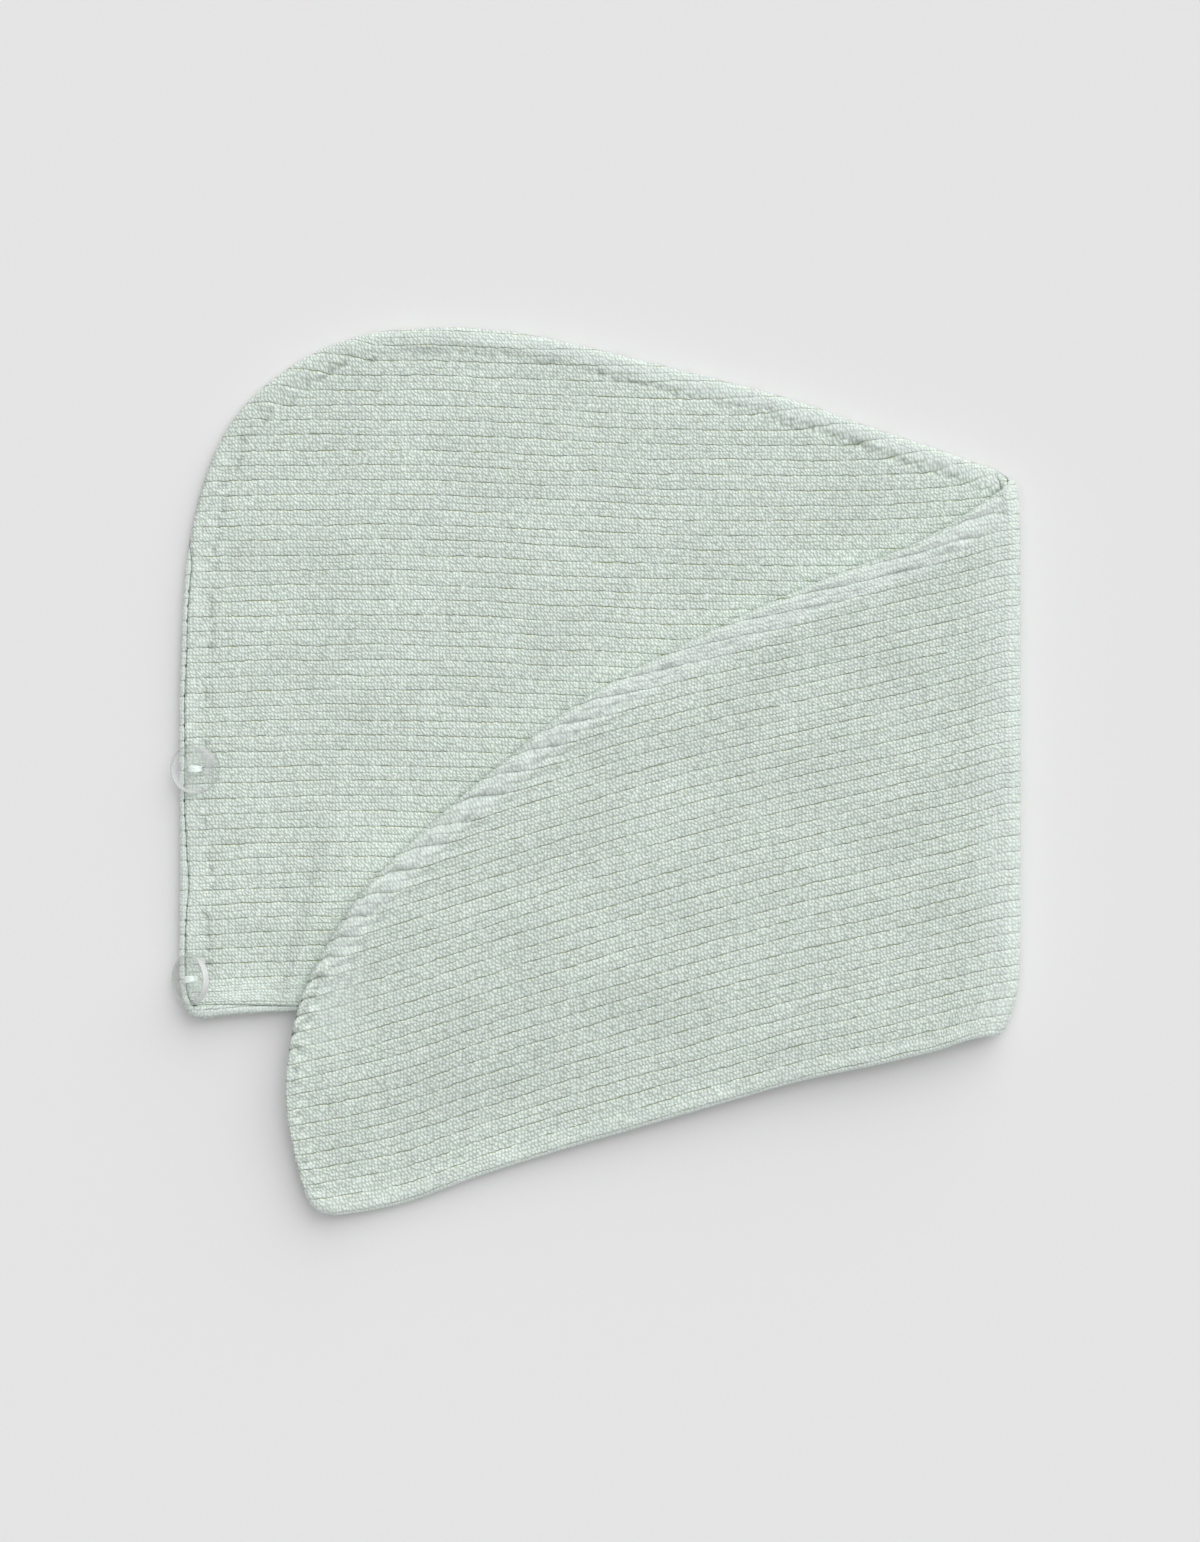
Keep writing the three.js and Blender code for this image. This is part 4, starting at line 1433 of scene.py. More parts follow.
    def _seam(self, spot: Spot, ditch_at: np.ndarray) -> SeamLook:
        """Works out how the knit is changed along the rolled seams.

        Args:
            spot: The vertices.
            ditch_at: How far inside the edge the seam pulls the cloth in.

        Returns:
            The changes at each vertex.
        """
        plan, outline = self.plan, self.outline
        station, y, inset = spot.station, spot.y, spot.inset
        arc = outline.arc[spot.edge_point]
        along_ribs = outline.along_ribs[spot.edge_point]
        sewn = 1 - outline.open_share[spot.edge_point]
        above = self._shows(station) & (y > plan.line_height(self.side, station, 0 * y) + self.low_band)
        apart = np.where(above, (1 - self.nearly_along_ribs.at(along_ribs)) * sewn, 0.0)
        shallow = self.shallow_slant.at(along_ribs)
        reach = (self.dent_reach + self.dent_reach_shallow * shallow) * ditch_at
        dent = apart * np.exp(-(((inset - ditch_at) / reach) ** 2))
        calm = smooth((self.calm_from * ditch_at - inset) / (self.calm_fade * ditch_at))
        calm = self.seam_calm * apart * calm
        on_tail = station > plan.turn_end
        braided = on_tail * shallow * np.maximum(apart, self.braid_beside * above * sewn)
        curl = self.curl * shallow * apart * smooth(self.curl_start - inset / (self.curl_reach * ditch_at))
        on_tip = on_tail * (1 - shallow) * self.tip_petal_from.at(y)
        rope = self.tip_petal * apart * on_tip
        rope = rope * smooth((ditch_at + self.tip_petal_beyond - inset) / self.tip_petal_fade)
        petals = self.petal * braided * smooth((ditch_at + self.petal_beyond - inset) / self.petal_fade)
        rope = rope + petals * self.petal_from.at(inset)
        uneven = self.petal_even + self.petal_vary * GentleNoise(47, 5.0, 3.0).at(arc, inset)
        rope = rope * np.clip(uneven, *self.petal_limits)
        broken = smooth(self.braid_even + self.braid_vary * GentleNoise(45, 3.0).at(arc))
        strayed = inset - self.braid_line - self.braid_stray * GentleNoise(46, 4.0).at(arc)
        line = self.braid_depth * broken * braided * np.exp(-((strayed / self.braid_width) ** 2))
        chance = self.mark_chance.at(GentleNoise(44, 2.0, 1.2).at(arc, inset))
        mark = above * chance * np.exp(-(((inset - ditch_at) / self.mark_width) ** 2))
        return SeamLook(apart, dent, calm, curl, rope, line, mark, self._fuzz_and_highlight(spot))

    def _fuzz_and_highlight(self, spot: Spot) -> np.ndarray:
        """Works out how far the pile fans out pale along the edges, with a painted highlight where the rolled
        edges catch the light.

        Args:
            spot: The vertices.

        Returns:
            The share at each vertex.
        """
        plan, outline, pale = self.plan, self.outline, self.pale
        station, inset = spot.station, spot.inset
        low = spot.y < plan.line_height(self.side, station, 0 * spot.y) + self.low_band
        at_back = outline.back_share[spot.edge_point]
        if self.side is Side.UPPER:
            more = pale.crown_more_from.at(station)
            amount = np.where(low, pale.hem, pale.crown + pale.crown_more * more)
            reach = np.where(low, pale.crown_reach, pale.crown_reach + pale.crown_reach_more * more)
            fuzz_and_highlight = amount * pale.crown_rise.at(inset) * smooth((reach - inset) / pale.crown_fade)
            back = at_back * pale.back * pale.back_rise.at(inset) * pale.back_fall.at(inset)
            return fuzz_and_highlight * (1 - at_back) + back
        less = pale.tail_less_from.at(station)
        amount = (pale.tail - pale.tail_less * less) * (1 - pale.tip_from.at(station))
        amount = np.where(low, pale.bottom + pale.bottom_edge * pale.bottom_fall.at(inset), amount)
        reach = np.where(low, pale.bottom_reach, pale.tail_reach - pale.tail_reach_less * less)
        rise = np.where(low, 1.0, pale.tail_rise.at(inset))
        fuzz_and_highlight = amount * rise * smooth((reach - inset) / pale.tail_fade)
        fuzz_and_highlight = np.maximum(fuzz_and_highlight, pale.turn * pale.turn_fall.at(station))
        fuzz_and_highlight = np.where(station > plan.axis_x + plan.turn_length / 2, fuzz_and_highlight, 0.0)
        rolled = np.maximum(at_back, outline.open_share[spot.edge_point])
        return np.maximum(fuzz_and_highlight, pale.rolled * rolled * pale.rolled_fall.at(inset))

    def _outer_layer(
        self, spot: Spot, ditch_at: np.ndarray, ribs: np.ndarray, seam: SeamLook
    ) -> np.ndarray:
        """Layer height of the panel's outside.

        Args:
            spot: The vertices.
            ditch_at: How far inside the edge the seam pulls the cloth in.
            ribs: The rib lines.
            seam: How the knit is changed along the seams.

        Returns:
            The layer heights.
        """
        plan, outline = self.plan, self.outline
        upper = self.side is Side.UPPER
        station, y, inset = spot.station, spot.y, spot.inset
        base = self._edge_layer()[spot.edge_point]
        opened = outline.open_share[spot.edge_point]
        arc = outline.arc[spot.edge_point]
        from_turn = np.maximum(np.maximum(plan.axis_x - station, station - plan.turn_end), 0)
        away = smooth((from_turn - self.ridge_from) / (self.ridge_full - self.ridge_from))
        uneven = 1 + self.ridge_vary * GentleNoise(42, 4.5, 3.5).at(arc, inset)
        uneven = uneven + self.ridge_slow_vary * GentleNoise(43, 13.0).at(arc)
        ditch_here = ditch_at * (1 + self.scallop * np.cos(np.pi * ribs / self.knit.rib))
        full = self.crown_ridge if upper else self.ridge
        height = self.bottom_ridge + (full - self.bottom_ridge) * seam.apart
        height = height * (1 - opened) * uneven
        steeper = 0.0 if upper else (self.ridge_slope - self.plain_slope) * seam.apart
        slope = self.plain_slope + steeper
        further = 0.0 if upper else self.ridge_further * seam.apart
        ridge = height * smooth(((1 + further) * ditch_here - inset) / (slope * ditch_at))
        deep = self.crown_dip if upper else self.ditch
        ditch = np.exp(-(((inset - ditch_at) / self.ditch_spread) ** 2))
        ditch = deep * (1 - self.hem_keeps * opened) * ditch
        free = self._shows(station)
        lift = np.where(free, (ridge - ditch) * away, 0.0)
        swell = self.swell * GentleNoise(31 if upper else 32, 55.0, 42.0).at(station, y)
        swell += self.small_swell * self.swell * GentleNoise(33, 19.0, 15.0).at(station, y)
        lift = lift + np.where(free, swell * away * self.swell_from.at(inset), 0.0)
        lift = lift - sum(place.at(station, y) for place in PRESSED_PLACES[self.side])
        flat = plan.stack + lift if upper else -lift
        at_back = outline.back_share[spot.edge_point] * (1.0 if upper else 0.0)
        sewn_width = self.sewn_roll * ditch_at * (1 - at_back) + self.back_roll * at_back
        width = sewn_width + (self.hem_roll - sewn_width) * opened
        return base + (flat - base) * quarter_round(inset / width)


def make_cloth(
    name: str,
    places: np.ndarray,
    faces: np.ndarray,
    along: np.ndarray,
    ribs: np.ndarray,
    looks: dict[str, np.ndarray],
    finish: "Finish",
) -> bpy.types.Object:
    """Makes a mesh object with the knit's own coordinates on it.

    Args:
        name: The piece's name.
        places: Vertices, in metres.
        faces: Triangles.
        along: Each vertex's place along the ribs.
        ribs: Each vertex's rib line.
        looks: Values at each vertex that its material reads, by name.
        finish: Its material.

    Returns:
        The object.
    """
    mesh = bpy.data.meshes.new(name)
    mesh.vertices.add(len(places))
    mesh.vertices.foreach_set("co", places.astype(np.float32).ravel())
    mesh.loops.add(faces.size)
    mesh.loops.foreach_set("vertex_index", faces.astype(np.int32).ravel())
    mesh.polygons.add(len(faces))
    mesh.polygons.foreach_set("loop_start", np.arange(0, faces.size, 3, dtype=np.int32))
    mesh.polygons.foreach_set("use_smooth", np.ones(len(faces), bool))
    mesh.update(calc_edges=True)
    knit = mesh.uv_layers.new(name="knit")
    corners = np.stack([along, ribs], axis=1)[faces.ravel()] / KNIT_UNIT
    knit.data.foreach_set("uv", corners.astype(np.float32).ravel())
    for key, values in looks.items():
        mesh.attributes.new(key, "FLOAT", "POINT").data.foreach_set("value", values.astype(np.float32))
    piece = bpy.data.objects.new(name, mesh)
    bpy.context.scene.collection.objects.link(piece)
    mesh.materials.append(finish.material())
    return piece


class Graph:
    """Draws a material's nodes with few words."""

    def __init__(self, material: bpy.types.Material) -> None:
        """Empties the material's node tree, to start from its output.

        Args:
            material: The material to draw.
        """
        material.use_nodes = True
        self.tree = material.node_tree
        self.tree.nodes.clear()
        self.output = self.tree.nodes.new("ShaderNodeOutputMaterial")

    def node(self, kind: str, inputs: dict | None = None, **settings: object) -> bpy.types.Node:
        """Adds a node.

        Args:
            kind: The node's type.
            inputs: Values or sockets for its inputs, by name or number.
            **settings: Its own settings.

        Returns:
            The node.
        """
        made = self.tree.nodes.new(kind)
        for name, value in settings.items():
            setattr(made, name, value)
        for name, value in (inputs or {}).items():
            if isinstance(value, Socket):
                self.tree.links.new(value, made.inputs[name])
            else:
                made.inputs[name].default_value = value
        return made

    def math(self, operation: str, a: object, b: object = 0.0) -> Socket:
        """Works out one sum.

        Args:
            operation: Which one.
            a: First value or socket.
            b: Second value or socket.

        Returns:
            The result's socket.
        """
        return self.node("ShaderNodeMath", {0: a, 1: b}, operation=operation).outputs[0]

    def fall(self, value: Socket, start: float, end: float) -> Socket:
        """Falls smoothly from 1 to 0 between two values.

        Args:
            value: What is looked at.
            start: Where it is still 1.
            end: Where it is 0.

        Returns:
            The result's socket.
        """
        made = self.node(
            "ShaderNodeMapRange",
            {"Value": value, "From Min": start, "From Max": end, "To Min": 1.0, "To Max": 0.0},
            interpolation_type="SMOOTHSTEP",
        )
        return made.outputs[0]

    def spread(self, value: Socket, low: float, high: float, to_low: float, to_high: float) -> Socket:
        """Maps one range of values evenly to another, held at its ends.

        Args:
            value: What is mapped.
            low: Start of its range.
            high: End of its range.
            to_low: What the start becomes.
            to_high: What the end becomes.

        Returns:
            The result's socket.
        """
        limits = {"Value": value, "From Min": low, "From Max": high, "To Min": to_low, "To Max": to_high}
        return self.node("ShaderNodeMapRange", limits).outputs[0]

    def noise(self, along: Socket, ribs: Socket, length: float, width: float) -> Socket:
        """Reads a smooth random pattern.

        Args:
            along: Millimetres along the ribs.
            ribs: Millimetres across the ribs.
            length: The pattern's size along the ribs.
            width: The pattern's size across them.

        Returns:
            Values round 0.5.
        """
        place = self.vector(self.math("DIVIDE", along, length), self.math("DIVIDE", ribs, width))
        inputs = {"Vector": place, "Scale": 1.0, "Detail": 2.0}
        return self.node("ShaderNodeTexNoise", inputs, noise_dimensions="2D").outputs[0]

    def vector(self, x: object, y: object) -> Socket:
        """Joins two values to a flat vector.

        Args:
            x: The first one.
            y: The second one.

        Returns:
            The vector's socket.
        """
        return self.node("ShaderNodeCombineXYZ", {0: x, 1: y}).outputs[0]

    def mix(self, share: object, a: object, b: object, blend: str = "MIX") -> Socket:
        """Mixes two colours.

        Args:
            share: How much of the second.
            a: First colour or socket.
            b: Second colour or socket.
            blend: How they are mixed.

        Returns:
            The result's socket.
        """
        made = self.node("ShaderNodeMix", {0: share}, data_type="RGBA", blend_type=blend)
        for number, value in ((6, a), (7, b)):
            if isinstance(value, Socket):
                self.tree.links.new(value, made.inputs[number])
            else:
                made.inputs[number].default_value = (*value, 1.0)
        return made.outputs[2]

    def finish(self, shader: bpy.types.Node) -> None:
        """Leads a shader to the output."""
        self.tree.links.new(shader.outputs[0], self.output.inputs["Surface"])


class Finish:
    """A material that is made once and shared."""

    name: str = "finish"

    def draw(self, graph: Graph) -> None:
        """Draws the material's nodes."""
        raise NotImplementedError

    def material(self) -> bpy.types.Material:
        """Finds the material, and makes it on first use.

        Returns:
            The material.
        """
        found = bpy.data.materials.get(self.name)
        if found is None:
            found = bpy.data.materials.new(self.name)
            self.draw(Graph(found))
        return found


@dataclass(frozen=True)
class LoopedRibCloth(Finish):
    """Pale sage green knit: rows of small curly loops between thin grooves, with painted shade in the gaps
    between the loops and olive painted shade in the grooves.
    """

    name: str = "looped_rib_cloth"
    loop_width: float = 1.3
    loop_length: float = 1.5
    scatter: float = 0.56
    narrowness: float = 1.2
    slant: float = 0.45
    loop_calm: float = 0.3
    line_calm: float = 0.9
    clump: float = 0.075
    loop_core: float = 0.12
    loop_rim: float = 0.74
    line_width: float = 0.27
    line_stray: float = 0.5
    # The loops fade from their lit tops (top) to painted shade in the gaps between them (gap); line is the
    # painted shade in the grooves.
    top: tuple[float, float, float] = (0.795, 0.875, 0.835)
    gap: tuple[float, float, float] = (0.54, 0.625, 0.54)
    line: tuple[float, float, float] = (0.29, 0.33, 0.17)
    # The pale colour of the edge fuzz and of its painted highlight.
    fuzz_and_highlight: tuple[float, float, float] = (0.88, 0.955, 0.935)
    bump: float = 0.0002
    tone: float = 0.99

    def draw(self, graph: Graph) -> None:
        """Draws loops, grooves and slow unevenness on the knit's own coordinates.

        Args:
            graph: The material's nodes.
        """
        uv = graph.node("ShaderNodeUVMap", uv_map="knit").outputs[0]
        split = graph.node("ShaderNodeSeparateXYZ", {0: uv})
        along = graph.math("MULTIPLY", split.outputs[0], KNIT_UNIT)
        ribs = graph.math("MULTIPLY", split.outputs[1], KNIT_UNIT)
        resting = graph.node("ShaderNodeAttribute", attribute_name="calm").outputs["Fac"]
        loop, shade = self._loops(graph, along, ribs)
        calm = graph.math("MULTIPLY", resting, self.loop_calm)
        loop = graph.math("ADD", graph.math("MULTIPLY", loop, graph.math("SUBTRACT", 1.0, calm)), calm)
        line = self._lines(graph, along, ribs)
        kept = graph.math("SUBTRACT", 1.0, graph.math("MULTIPLY", resting, self.line_calm))
        line = graph.math("MULTIPLY", line, kept)
        # Painted shade: the colour falls from the loop tops to the gaps between them, and to the line colour
        # in the grooves.
        colour = graph.mix(loop, self.gap, self.top)
        colour = graph.mix(line, colour, self.line)
        slow = graph.noise(along, ribs, 30.0, 22.0)
        slow = graph.spread(slow, 0.3, 0.7, 0.96 * self.tone, 1.03 * self.tone)
        clump = graph.noise(along, ribs, 3.6, 2.4)
        clump = graph.spread(clump, 0.3, 0.7, 1 - self.clump, 1 + self.clump)
        tone = graph.node("ShaderNodeAttribute", attribute_name="tone").outputs["Fac"]
        shade = graph.math("MULTIPLY", slow, shade)
        level = graph.math("MULTIPLY", shade, graph.math("MULTIPLY", clump, tone))
        grey = graph.node("ShaderNodeCombineColor", {0: level, 1: level, 2: level}).outputs[0]
        colour = graph.mix(1.0, colour, grey, "MULTIPLY")
        fuzz_and_highlight = graph.node("ShaderNodeAttribute", attribute_name="fuzz_and_highlight").outputs["Fac"]
        # Pale edge fuzz with a painted highlight where the rolled edges catch the light.
        colour = graph.mix(fuzz_and_highlight, colour, self.fuzz_and_highlight)
        height = graph.math("SUBTRACT", loop, graph.math("MULTIPLY", line, 0.8))
        relief = {"Height": height, "Distance": self.bump, "Strength": 1.0}
        bump = graph.node("ShaderNodeBump", relief).outputs[0]
        shader = graph.node(
            "ShaderNodeBsdfPrincipled",
            {
                "Base Color": colour,
                "Roughness": 0.95,
                "Specular IOR Level": 0.1,
                "Sheen Weight": 0.5,
                "Sheen Roughness": 0.4,
                "Normal": bump,
            },
        )
        graph.finish(shader)

    def _loops(self, graph: Graph, along: Socket, ribs: Socket) -> tuple[Socket, Socket]:
        """Draws the pile's loops, each one leaning a little differently.

        Args:
            graph: The material's nodes.
            along: Millimetres along the ribs.
            ribs: Millimetres across the ribs.

        Returns:
            How high the loop is, and how light its yarn is.
        """
        centred = 0.5 * (1 - self.scatter)
        place = graph.vector(
            graph.math("DIVIDE", along, self.loop_width),
            graph.math("SUBTRACT", graph.math("DIVIDE", ribs, self.loop_length), centred),
        )
        cell = graph.node(
            "ShaderNodeTexVoronoi",
            {"Vector": place, "Scale": 1.0, "Randomness": self.scatter},
            voronoi_dimensions="2D",
        )
        ends = {0: place, 1: cell.outputs["Position"]}
        offset = graph.node("ShaderNodeVectorMath", ends, operation="SUBTRACT")
        parts = graph.node("ShaderNodeSeparateXYZ", {0: offset.outputs[0]})
        chance = graph.node("ShaderNodeSeparateColor", {0: cell.outputs["Color"]})
        lean = graph.math("MULTIPLY", graph.math("ADD", chance.outputs[0], 0.1), self.slant * 1.6)
        sideways = graph.math("ADD", parts.outputs[0], graph.math("MULTIPLY", parts.outputs[1], lean))
        narrow = graph.math("MULTIPLY", sideways, self.narrowness)
        stretched = {0: graph.vector(narrow, parts.outputs[1])}
        far = graph.node("ShaderNodeVectorMath", stretched, operation="LENGTH")
        loop = graph.fall(far.outputs["Value"], self.loop_core, self.loop_rim)
        shade = graph.spread(chance.outputs[1], 0.0, 1.0, 0.9, 1.05)
        return loop, shade

    def _lines(self, graph: Graph, along: Socket, ribs: Socket) -> Socket:
        """Draws the grooves between the ribs as painted shade, straying and broken as they are in the knit.

        Args:
            graph: The material's nodes.
            along: Millimetres along the ribs.
            ribs: Millimetres across the ribs.

        Returns:
            How dark the groove is.
        """
        stray = graph.math("SUBTRACT", graph.noise(along, ribs, 3.2, 9.0), 0.5)
        bent = graph.math("ADD", ribs, graph.math("MULTIPLY", stray, 2 * self.line_stray))
        strong = graph.fall(graph.math("PINGPONG", bent, 3.0), 0.04, self.line_width)
        fine = graph.fall(graph.math("PINGPONG", bent, 1.5), 0.04, 1.2 * self.line_width)
        broken = graph.spread(graph.noise(along, ribs, 6.0, 5.0), 0.34, 0.58, 0.3, 0.95)
        rare = graph.spread(graph.noise(along, ribs, 11.0, 3.4), 0.44, 0.64, 0.0, 0.4)
        strong = graph.math("MULTIPLY", strong, broken)
        return graph.math("MAXIMUM", strong, graph.math("MULTIPLY", fine, rare))


@dataclass(frozen=True)
class PaleFloor(Finish):
    """The plain pale surface that the towel lies on."""

    name: str = "pale_floor"
    colour: tuple[float, float, float] = (0.8, 0.8, 0.8)

    def draw(self, graph: Graph) -> None:
        """Draws one plain matt colour."""
        shader = graph.node("ShaderNodeBsdfDiffuse", {"Color": (*self.colour, 1.0)})
        graph.finish(shader)


@dataclass(frozen=True)
class ClearPlastic(Finish):
    """Clear polished plastic, a little milky, denser to look through where a highlight is painted on its rim,
    with a painted dark refraction edge round it.
    """

    name: str = "clear_plastic"
    # colour is the dark of the painted refraction edge, lit_colour the white of the painted highlights; the
    # milky inside lies between them.
    colour: tuple[float, float, float] = (0.4, 0.43, 0.38)
    lit_colour: tuple[float, float, float] = (0.97, 0.97, 0.99)
    roughness: float = 0.12
    gather: float = 0.5

    def draw(self, graph: Graph) -> None:
        """Draws a glossy skin, of which most is looked through.

        Args:
            graph: The material's nodes.
        """
        share = graph.node("ShaderNodeAttribute", attribute_name="veil").outputs["Fac"]
        glint = graph.node("ShaderNodeAttribute", attribute_name="glint").outputs["Fac"]
        skin = graph.node(
            "ShaderNodeBsdfPrincipled",
            {
                "Base Color": graph.mix(glint, self.colour, self.lit_colour),
                "Roughness": self.roughness,
                "Coat Weight": 1.0,
                "Coat Roughness": 0.05,
                "Alpha": share,
            },
        )
        # Where a highlight is painted, part of the skin turns translucent in the highlight's colour.
        through = graph.node("ShaderNodeBsdfTranslucent", {"Color": (*self.lit_colour, 1.0)})
        gathered = graph.math("MULTIPLY", graph.math("MULTIPLY", share, glint), self.gather)
        shader = graph.node("ShaderNodeMixShader", {0: gathered, 1: skin.outputs[0], 2: through.outputs[0]})
        graph.finish(shader)


@dataclass(frozen=True)
class WhiteThread(Finish):
    """Pale mint sewing thread."""

    name: str = "white_thread"
    colour: tuple[float, float, float] = (0.90, 0.98, 0.95)

    def draw(self, graph: Graph) -> None:
        """Draws one plain colour with a soft sheen.

        Args:
            graph: The material's nodes.
        """
        shader = graph.node(
            "ShaderNodeBsdfPrincipled",
            {
                "Base Color": (*self.colour, 1.0),
                "Roughness": 0.7,
                "Sheen Weight": 0.2,
                "Specular IOR Level": 0.3,
            },
        )
        graph.finish(shader)


def choose_faces(piece: bpy.types.Object, chosen: list[int]) -> None:
    """Selects some faces of the active mesh and goes into edit mode.

    Args:
        piece: The mesh object.
        chosen: The faces' numbers.
    """
    bpy.ops.object.mode_set(mode="EDIT")
    bpy.ops.mesh.select_all(action="DESELECT")
    bpy.ops.object.mode_set(mode="OBJECT")
    for number in chosen:
        piece.data.polygons[number].select = True
    bpy.ops.object.mode_set(mode="EDIT")


class Glint(NamedTuple):
    """A painted highlight, a bright arc near a button's rim: its middle's bearing, radius and width, how
    short and how bright.
    """

    bearing: float
    radius: float
    width: float
    shortness: int
    amount: float


class ButtonPlace(NamedTuple):
    """Where a button's underside lies, how it leans and is turned, how clear it is, where painted highlights
    shine on its rim.
    """

    name: str
    x: float
    y: float
    z: float
    tilt: float
    turn: float
    veil: float
    milk: float
    glints: tuple[Glint, ...]

    def matrix(self) -> Matrix:
        """Works out the button's place.

        Returns:
            The place as a matrix, from millimetres to metres.
        """
        leant = Matrix.Rotation(-math.radians(self.tilt), 4, "Y")
        turned = Matrix.Rotation(math.radians(self.turn), 4, "Z")
        return Matrix.Scale(MM, 4) @ Matrix.Translation((self.x, self.y, self.z)) @ (leant @ turned)


# Painted highlights on the buttons' rims.
UPPER_GLINTS = (Glint(48.0, 8.7, 0.55, 6, 0.85), Glint(222.0, 9.25, 0.6, 2, 0.9))
LOWER_GLINTS = (
    Glint(-9.0, 10.0, 0.45, 1, 0.75),
    Glint(0.0, 9.9, 0.5, 0, 0.25),
    Glint(200.0, 9.4, 0.8, 2, 0.4),
)
UPPER_BUTTON = ButtonPlace("upper_button", -160.0, 1.0, 7.5, 15.0, 0.0, 0.04, 0.8, UPPER_GLINTS)
LOWER_BUTTON = ButtonPlace("lower_button", -161.0, -83.0, 9.6, 44.0, 9.0, 0.1, 0.55, LOWER_GLINTS)


@dataclass
class SewnButton:
    """A clear two-hole button, sewn on with a few turns of thread."""

    place: ButtonPlace
    radius: float = 10.1
    thickness: float = 2.8
    rim: float = 1.5
    rim_shares: tuple[float, ...] = (0.4, 0.3, 0.3)
    slope: float = 1.5
    dish: float = 0.7
    first_drop: float = 0.8
    round_off: float = 0.45
    hole_radius: float = 1.1
    hole_spread: float = 2.2
    strand: float = 0.4
    strands: int = 4
    strand_gap: float = 0.62
    strand_pinch: float = 0.85
    strand_end: float = -0.4
    strand_shoulder: float = 0.9
    strand_lead: float = 0.7
    rise: float = 0.9
    sides: int = 96
    # A painted dark refraction edge round the rim, which gives way where a highlight is painted.
    outline_width: float = 0.5
    outline_veil: float = 0.26
    outline_yields: float = 1.5

    def build(self) -> None:
        """Makes the button and its thread in place of the plain ones."""
        self._hand_over(self._disc(), ClearPlastic(), self.place.name)
        self._hand_over(self._thread(), WhiteThread(), self.place.name + "_thread")

    def _hand_over(self, piece: bpy.types.Object, finish: Finish, node: str) -> None:
        """Args:
            piece: The piece.
            finish: Its material.
            node: The plain solid that it replaces.
        """
        piece.data.transform(self.place.matrix())
        piece.name = node + "_fine"
        piece.data.materials.clear()
        piece.data.materials.append(finish.material())
        bpy.ops.object.select_all(action="DESELECT")
        piece.select_set(True)
        bpy.context.view_layer.objects.active = piece
        bpy.ops.object.shade_smooth_by_angle(angle=math.radians(40))
        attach(piece, BODY)
        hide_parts(node)

    def _look(self, x: float, y: float) -> tuple[float, float]:
        """Works out how the plastic looks at one place, with its painted highlights and its painted dark
        edge.

        Args:
            x: Place on the button, from its centre.
            y: Place on the button, from its centre.

        Returns:
            The share of what lies behind that it holds back, and how white it is, from 0 to 1.
        """
        away = math.hypot(x, y)
        bearing = math.degrees(math.atan2(y, x))
        lit = 0.0
        for glint in self.place.glints:
            facing = max(0.0, math.cos(math.radians(bearing - glint.bearing))) ** glint.shortness
            lit = max(lit, glint.amount * facing * math.exp(-(((away - glint.radius) / glint.width) ** 2)))
        edge = math.exp(-(((away - self.radius) / self.outline_width) ** 2))
        edge *= 1 - min(1.0, self.outline_yields * lit)
        white = max(0.0, self.place.milk - edge) * (1 - min(1.0, lit)) + min(1.0, lit)
        return self.place.veil + edge * self.outline_veil + lit, white

    def _disc(self) -> bpy.types.Object:
        """Turns a cylinder into a dished disc with two holes, sized in millimetres at the origin.

        Returns:
            The disc.
        """
        centre = (0, 0, self.thickness / 2)
        bpy.ops.mesh.primitive_cylinder_add(
            vertices=self.sides, radius=self.radius, depth=self.thickness, location=centre
        )
        disc = bpy.context.object
        bpy.ops.object.transform_apply(location=True)
        for direction in (-1, 1):
            bpy.ops.object.mode_set(mode="OBJECT")
            level = [face.index for face in disc.data.polygons if direction * face.normal.z > 0.9]
            choose_faces(disc, level)
            for share in self.rim_shares:
                bpy.ops.mesh.inset(thickness=share * self.rim)
        bpy.ops.mesh.inset(thickness=self.slope, depth=-self.first_drop * self.dish)
        bpy.ops.mesh.inset(thickness=2 * self.slope, depth=-(1 - self.first_drop) * self.dish)
        bpy.ops.object.mode_set(mode="OBJECT")
        bevel = disc.modifiers.new("round_off", "BEVEL")
        bevel.width = self.round_off
        bevel.segments = 4
        bevel.limit_method = "ANGLE"
        bevel.angle_limit = math.radians(20)
        bpy.ops.object.modifier_apply(modifier=bevel.name)
        for direction in (-1, 1):
            self._drill(disc, direction * self.hole_spread)
        # The veil and glint attributes carry the painted highlights and the painted dark edge, with the
        # plastic's milkiness.
        looks = np.array([self._look(v.co.x, v.co.y) for v in disc.data.vertices], np.float32)
        for name, values in zip(("veil", "glint"), looks.T):
            disc.data.attributes.new(name, "FLOAT", "POINT").data.foreach_set("value", values.copy())
        return disc

    def _drill(self, disc: bpy.types.Object, x: float) -> None:
        """Cuts one hole.

        Args:
            disc: What is drilled.
            x: Where.
        """
        bpy.ops.mesh.primitive_cylinder_add(
            vertices=32, radius=self.hole_radius, depth=4 * self.thickness, location=(x, 0, 0)
        )
        drill = bpy.context.object
        cut = disc.modifiers.new("hole", "BOOLEAN")
        cut.object = drill
        cut.operation = "DIFFERENCE"
        cut.solver = "EXACT"
        bpy.context.view_layer.objects.active = disc
        bpy.ops.object.modifier_apply(modifier=cut.name)
        bpy.data.objects.remove(drill, do_unlink=True)

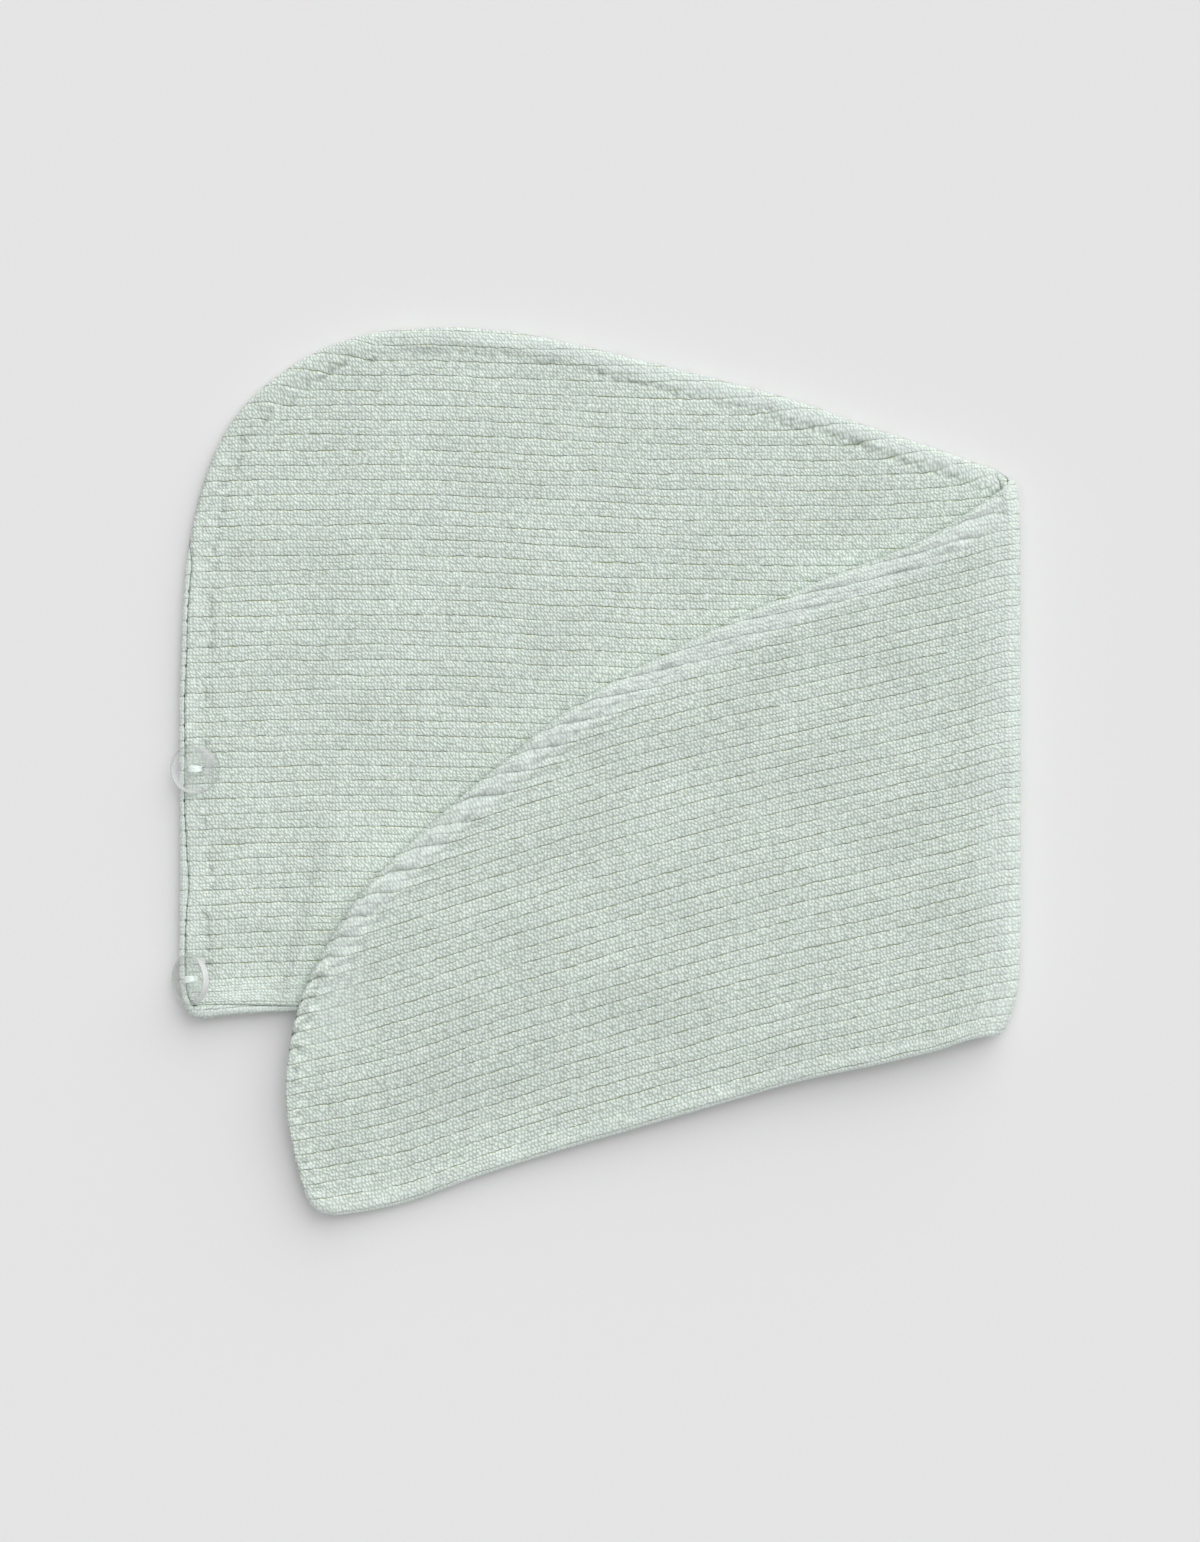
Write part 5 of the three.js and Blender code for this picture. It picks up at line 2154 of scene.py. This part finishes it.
    def _thread(self) -> bpy.types.Object:
        """Lays the turns of thread over from hole to hole, sized in millimetres at the origin.

        Returns:
            The thread.
        """
        top = self.thickness - self.dish + self.rise
        bpy.ops.object.select_all(action="DESELECT")
        turns = []
        for turn in range(self.strands):
            across = (turn - (self.strands - 1) / 2) * self.strand_gap
            near = self.strand_pinch * across
            bpy.ops.curve.primitive_bezier_curve_add(location=(0, 0, 0))
            line = bpy.context.object
            spline = line.data.splines[0]
            spline.bezier_points.add(4)
            half, lead, shoulder = self.hole_spread, self.strand_lead, top - self.strand_shoulder
            route = [
                (-half, near, self.strand_end),
                (-half, near, shoulder),
                (-half + lead, across, top),
                (half - lead, across, top),
                (half, near, shoulder),
                (half, near, self.strand_end),
            ]
            for point, place in zip(spline.bezier_points, route):
                point.co = place
                point.handle_left_type = point.handle_right_type = "AUTO"
            line.data.bevel_depth = self.strand
            line.data.bevel_resolution = 3
            line.data.resolution_u = 6
            line.data.use_fill_caps = True
            bpy.ops.object.convert(target="MESH")
            turns.append(bpy.context.object)
        for piece in turns:
            piece.select_set(True)
        bpy.context.view_layer.objects.active = turns[0]
        bpy.ops.object.join()
        return turns[0]


@dataclass
class Studio:
    """The floor, the light and the camera."""

    view_centre: EdgePoint = EdgePoint(1.5, 0.2)
    view_height: float = 616.8
    level: float = 6.75
    lens: float = 85.0
    sensor: float = 36.0
    key_bearing: float = 60.0
    key_height: float = 31.5
    key_angle: float = 70.0
    key_strength: float = 2.34
    top_angle: float = 60.0
    top_strength: float = 0.92
    sky_strength: float = 0.294

    def build(self) -> None:
        """Makes all three."""
        bpy.ops.mesh.primitive_plane_add(size=6.0, location=(0, 0, 0))
        floor = bpy.context.object
        floor.name = "studio_floor"
        floor.data.materials.append(PaleFloor().material())
        distance = self.view_height / self.sensor * self.lens
        place = (self.view_centre.x * MM, self.view_centre.y * MM, (distance + self.level) * MM)
        bpy.ops.object.camera_add(location=place, rotation=(0, 0, 0))
        camera = bpy.context.object
        camera.data.lens = self.lens
        camera.data.sensor_width = self.sensor
        bpy.context.scene.camera = camera
        slant = 90 - self.key_height
        self._soft_light("key_light", slant, self.key_bearing, self.key_angle, self.key_strength)
        self._soft_light("top_light", 0.0, 0.0, self.top_angle, self.top_strength)
        world = bpy.data.worlds.new("soft_light")
        world.use_nodes = True
        world.node_tree.nodes["Background"].inputs["Color"].default_value = (1, 1, 1, 1)
        world.node_tree.nodes["Background"].inputs["Strength"].default_value = self.sky_strength
        bpy.context.scene.world = world
        bpy.context.scene.view_settings.view_transform = "Standard"

    def _soft_light(self, name: str, slant: float, bearing: float, angle: float, strength: float) -> None:
        """Adds a large far light.

        Args:
            name: Its name.
            slant: How far it stands from straight above, in degrees.
            bearing: Where it stands round the towel, in degrees from +x.
            angle: How large it looks, in degrees.
            strength: Its strength.
        """
        bpy.ops.object.light_add(type="SUN", location=(0, 0, 1.0))
        light = bpy.context.object
        light.name = name
        light.data.energy = strength
        light.data.angle = math.radians(angle)
        light.rotation_euler = (0, math.radians(slant), math.radians(bearing))


def main() -> None:
    """Builds and dresses everything, piece by piece."""
    logging.basicConfig(level=logging.INFO, format="%(name)s: %(message)s")
    bpy.ops.object.select_all(action="DESELECT")
    plan = FoldPlan()
    cloths = {
        Side.UPPER: LoopedRibCloth(),
        Side.LOWER: LoopedRibCloth(name="looped_rib_cloth_lower", tone=0.965),
    }
    for side in Side:
        piece = ClothPanel(plan, side).build(cloths[side])
        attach(piece, BODY)
        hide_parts(side.value)
        LOG.info("%s: %d triangles", piece.name, len(piece.data.polygons))
    for place in (UPPER_BUTTON, LOWER_BUTTON):
        SewnButton(place).build()
    Studio().build()


if __name__ == "__main__":
    main()
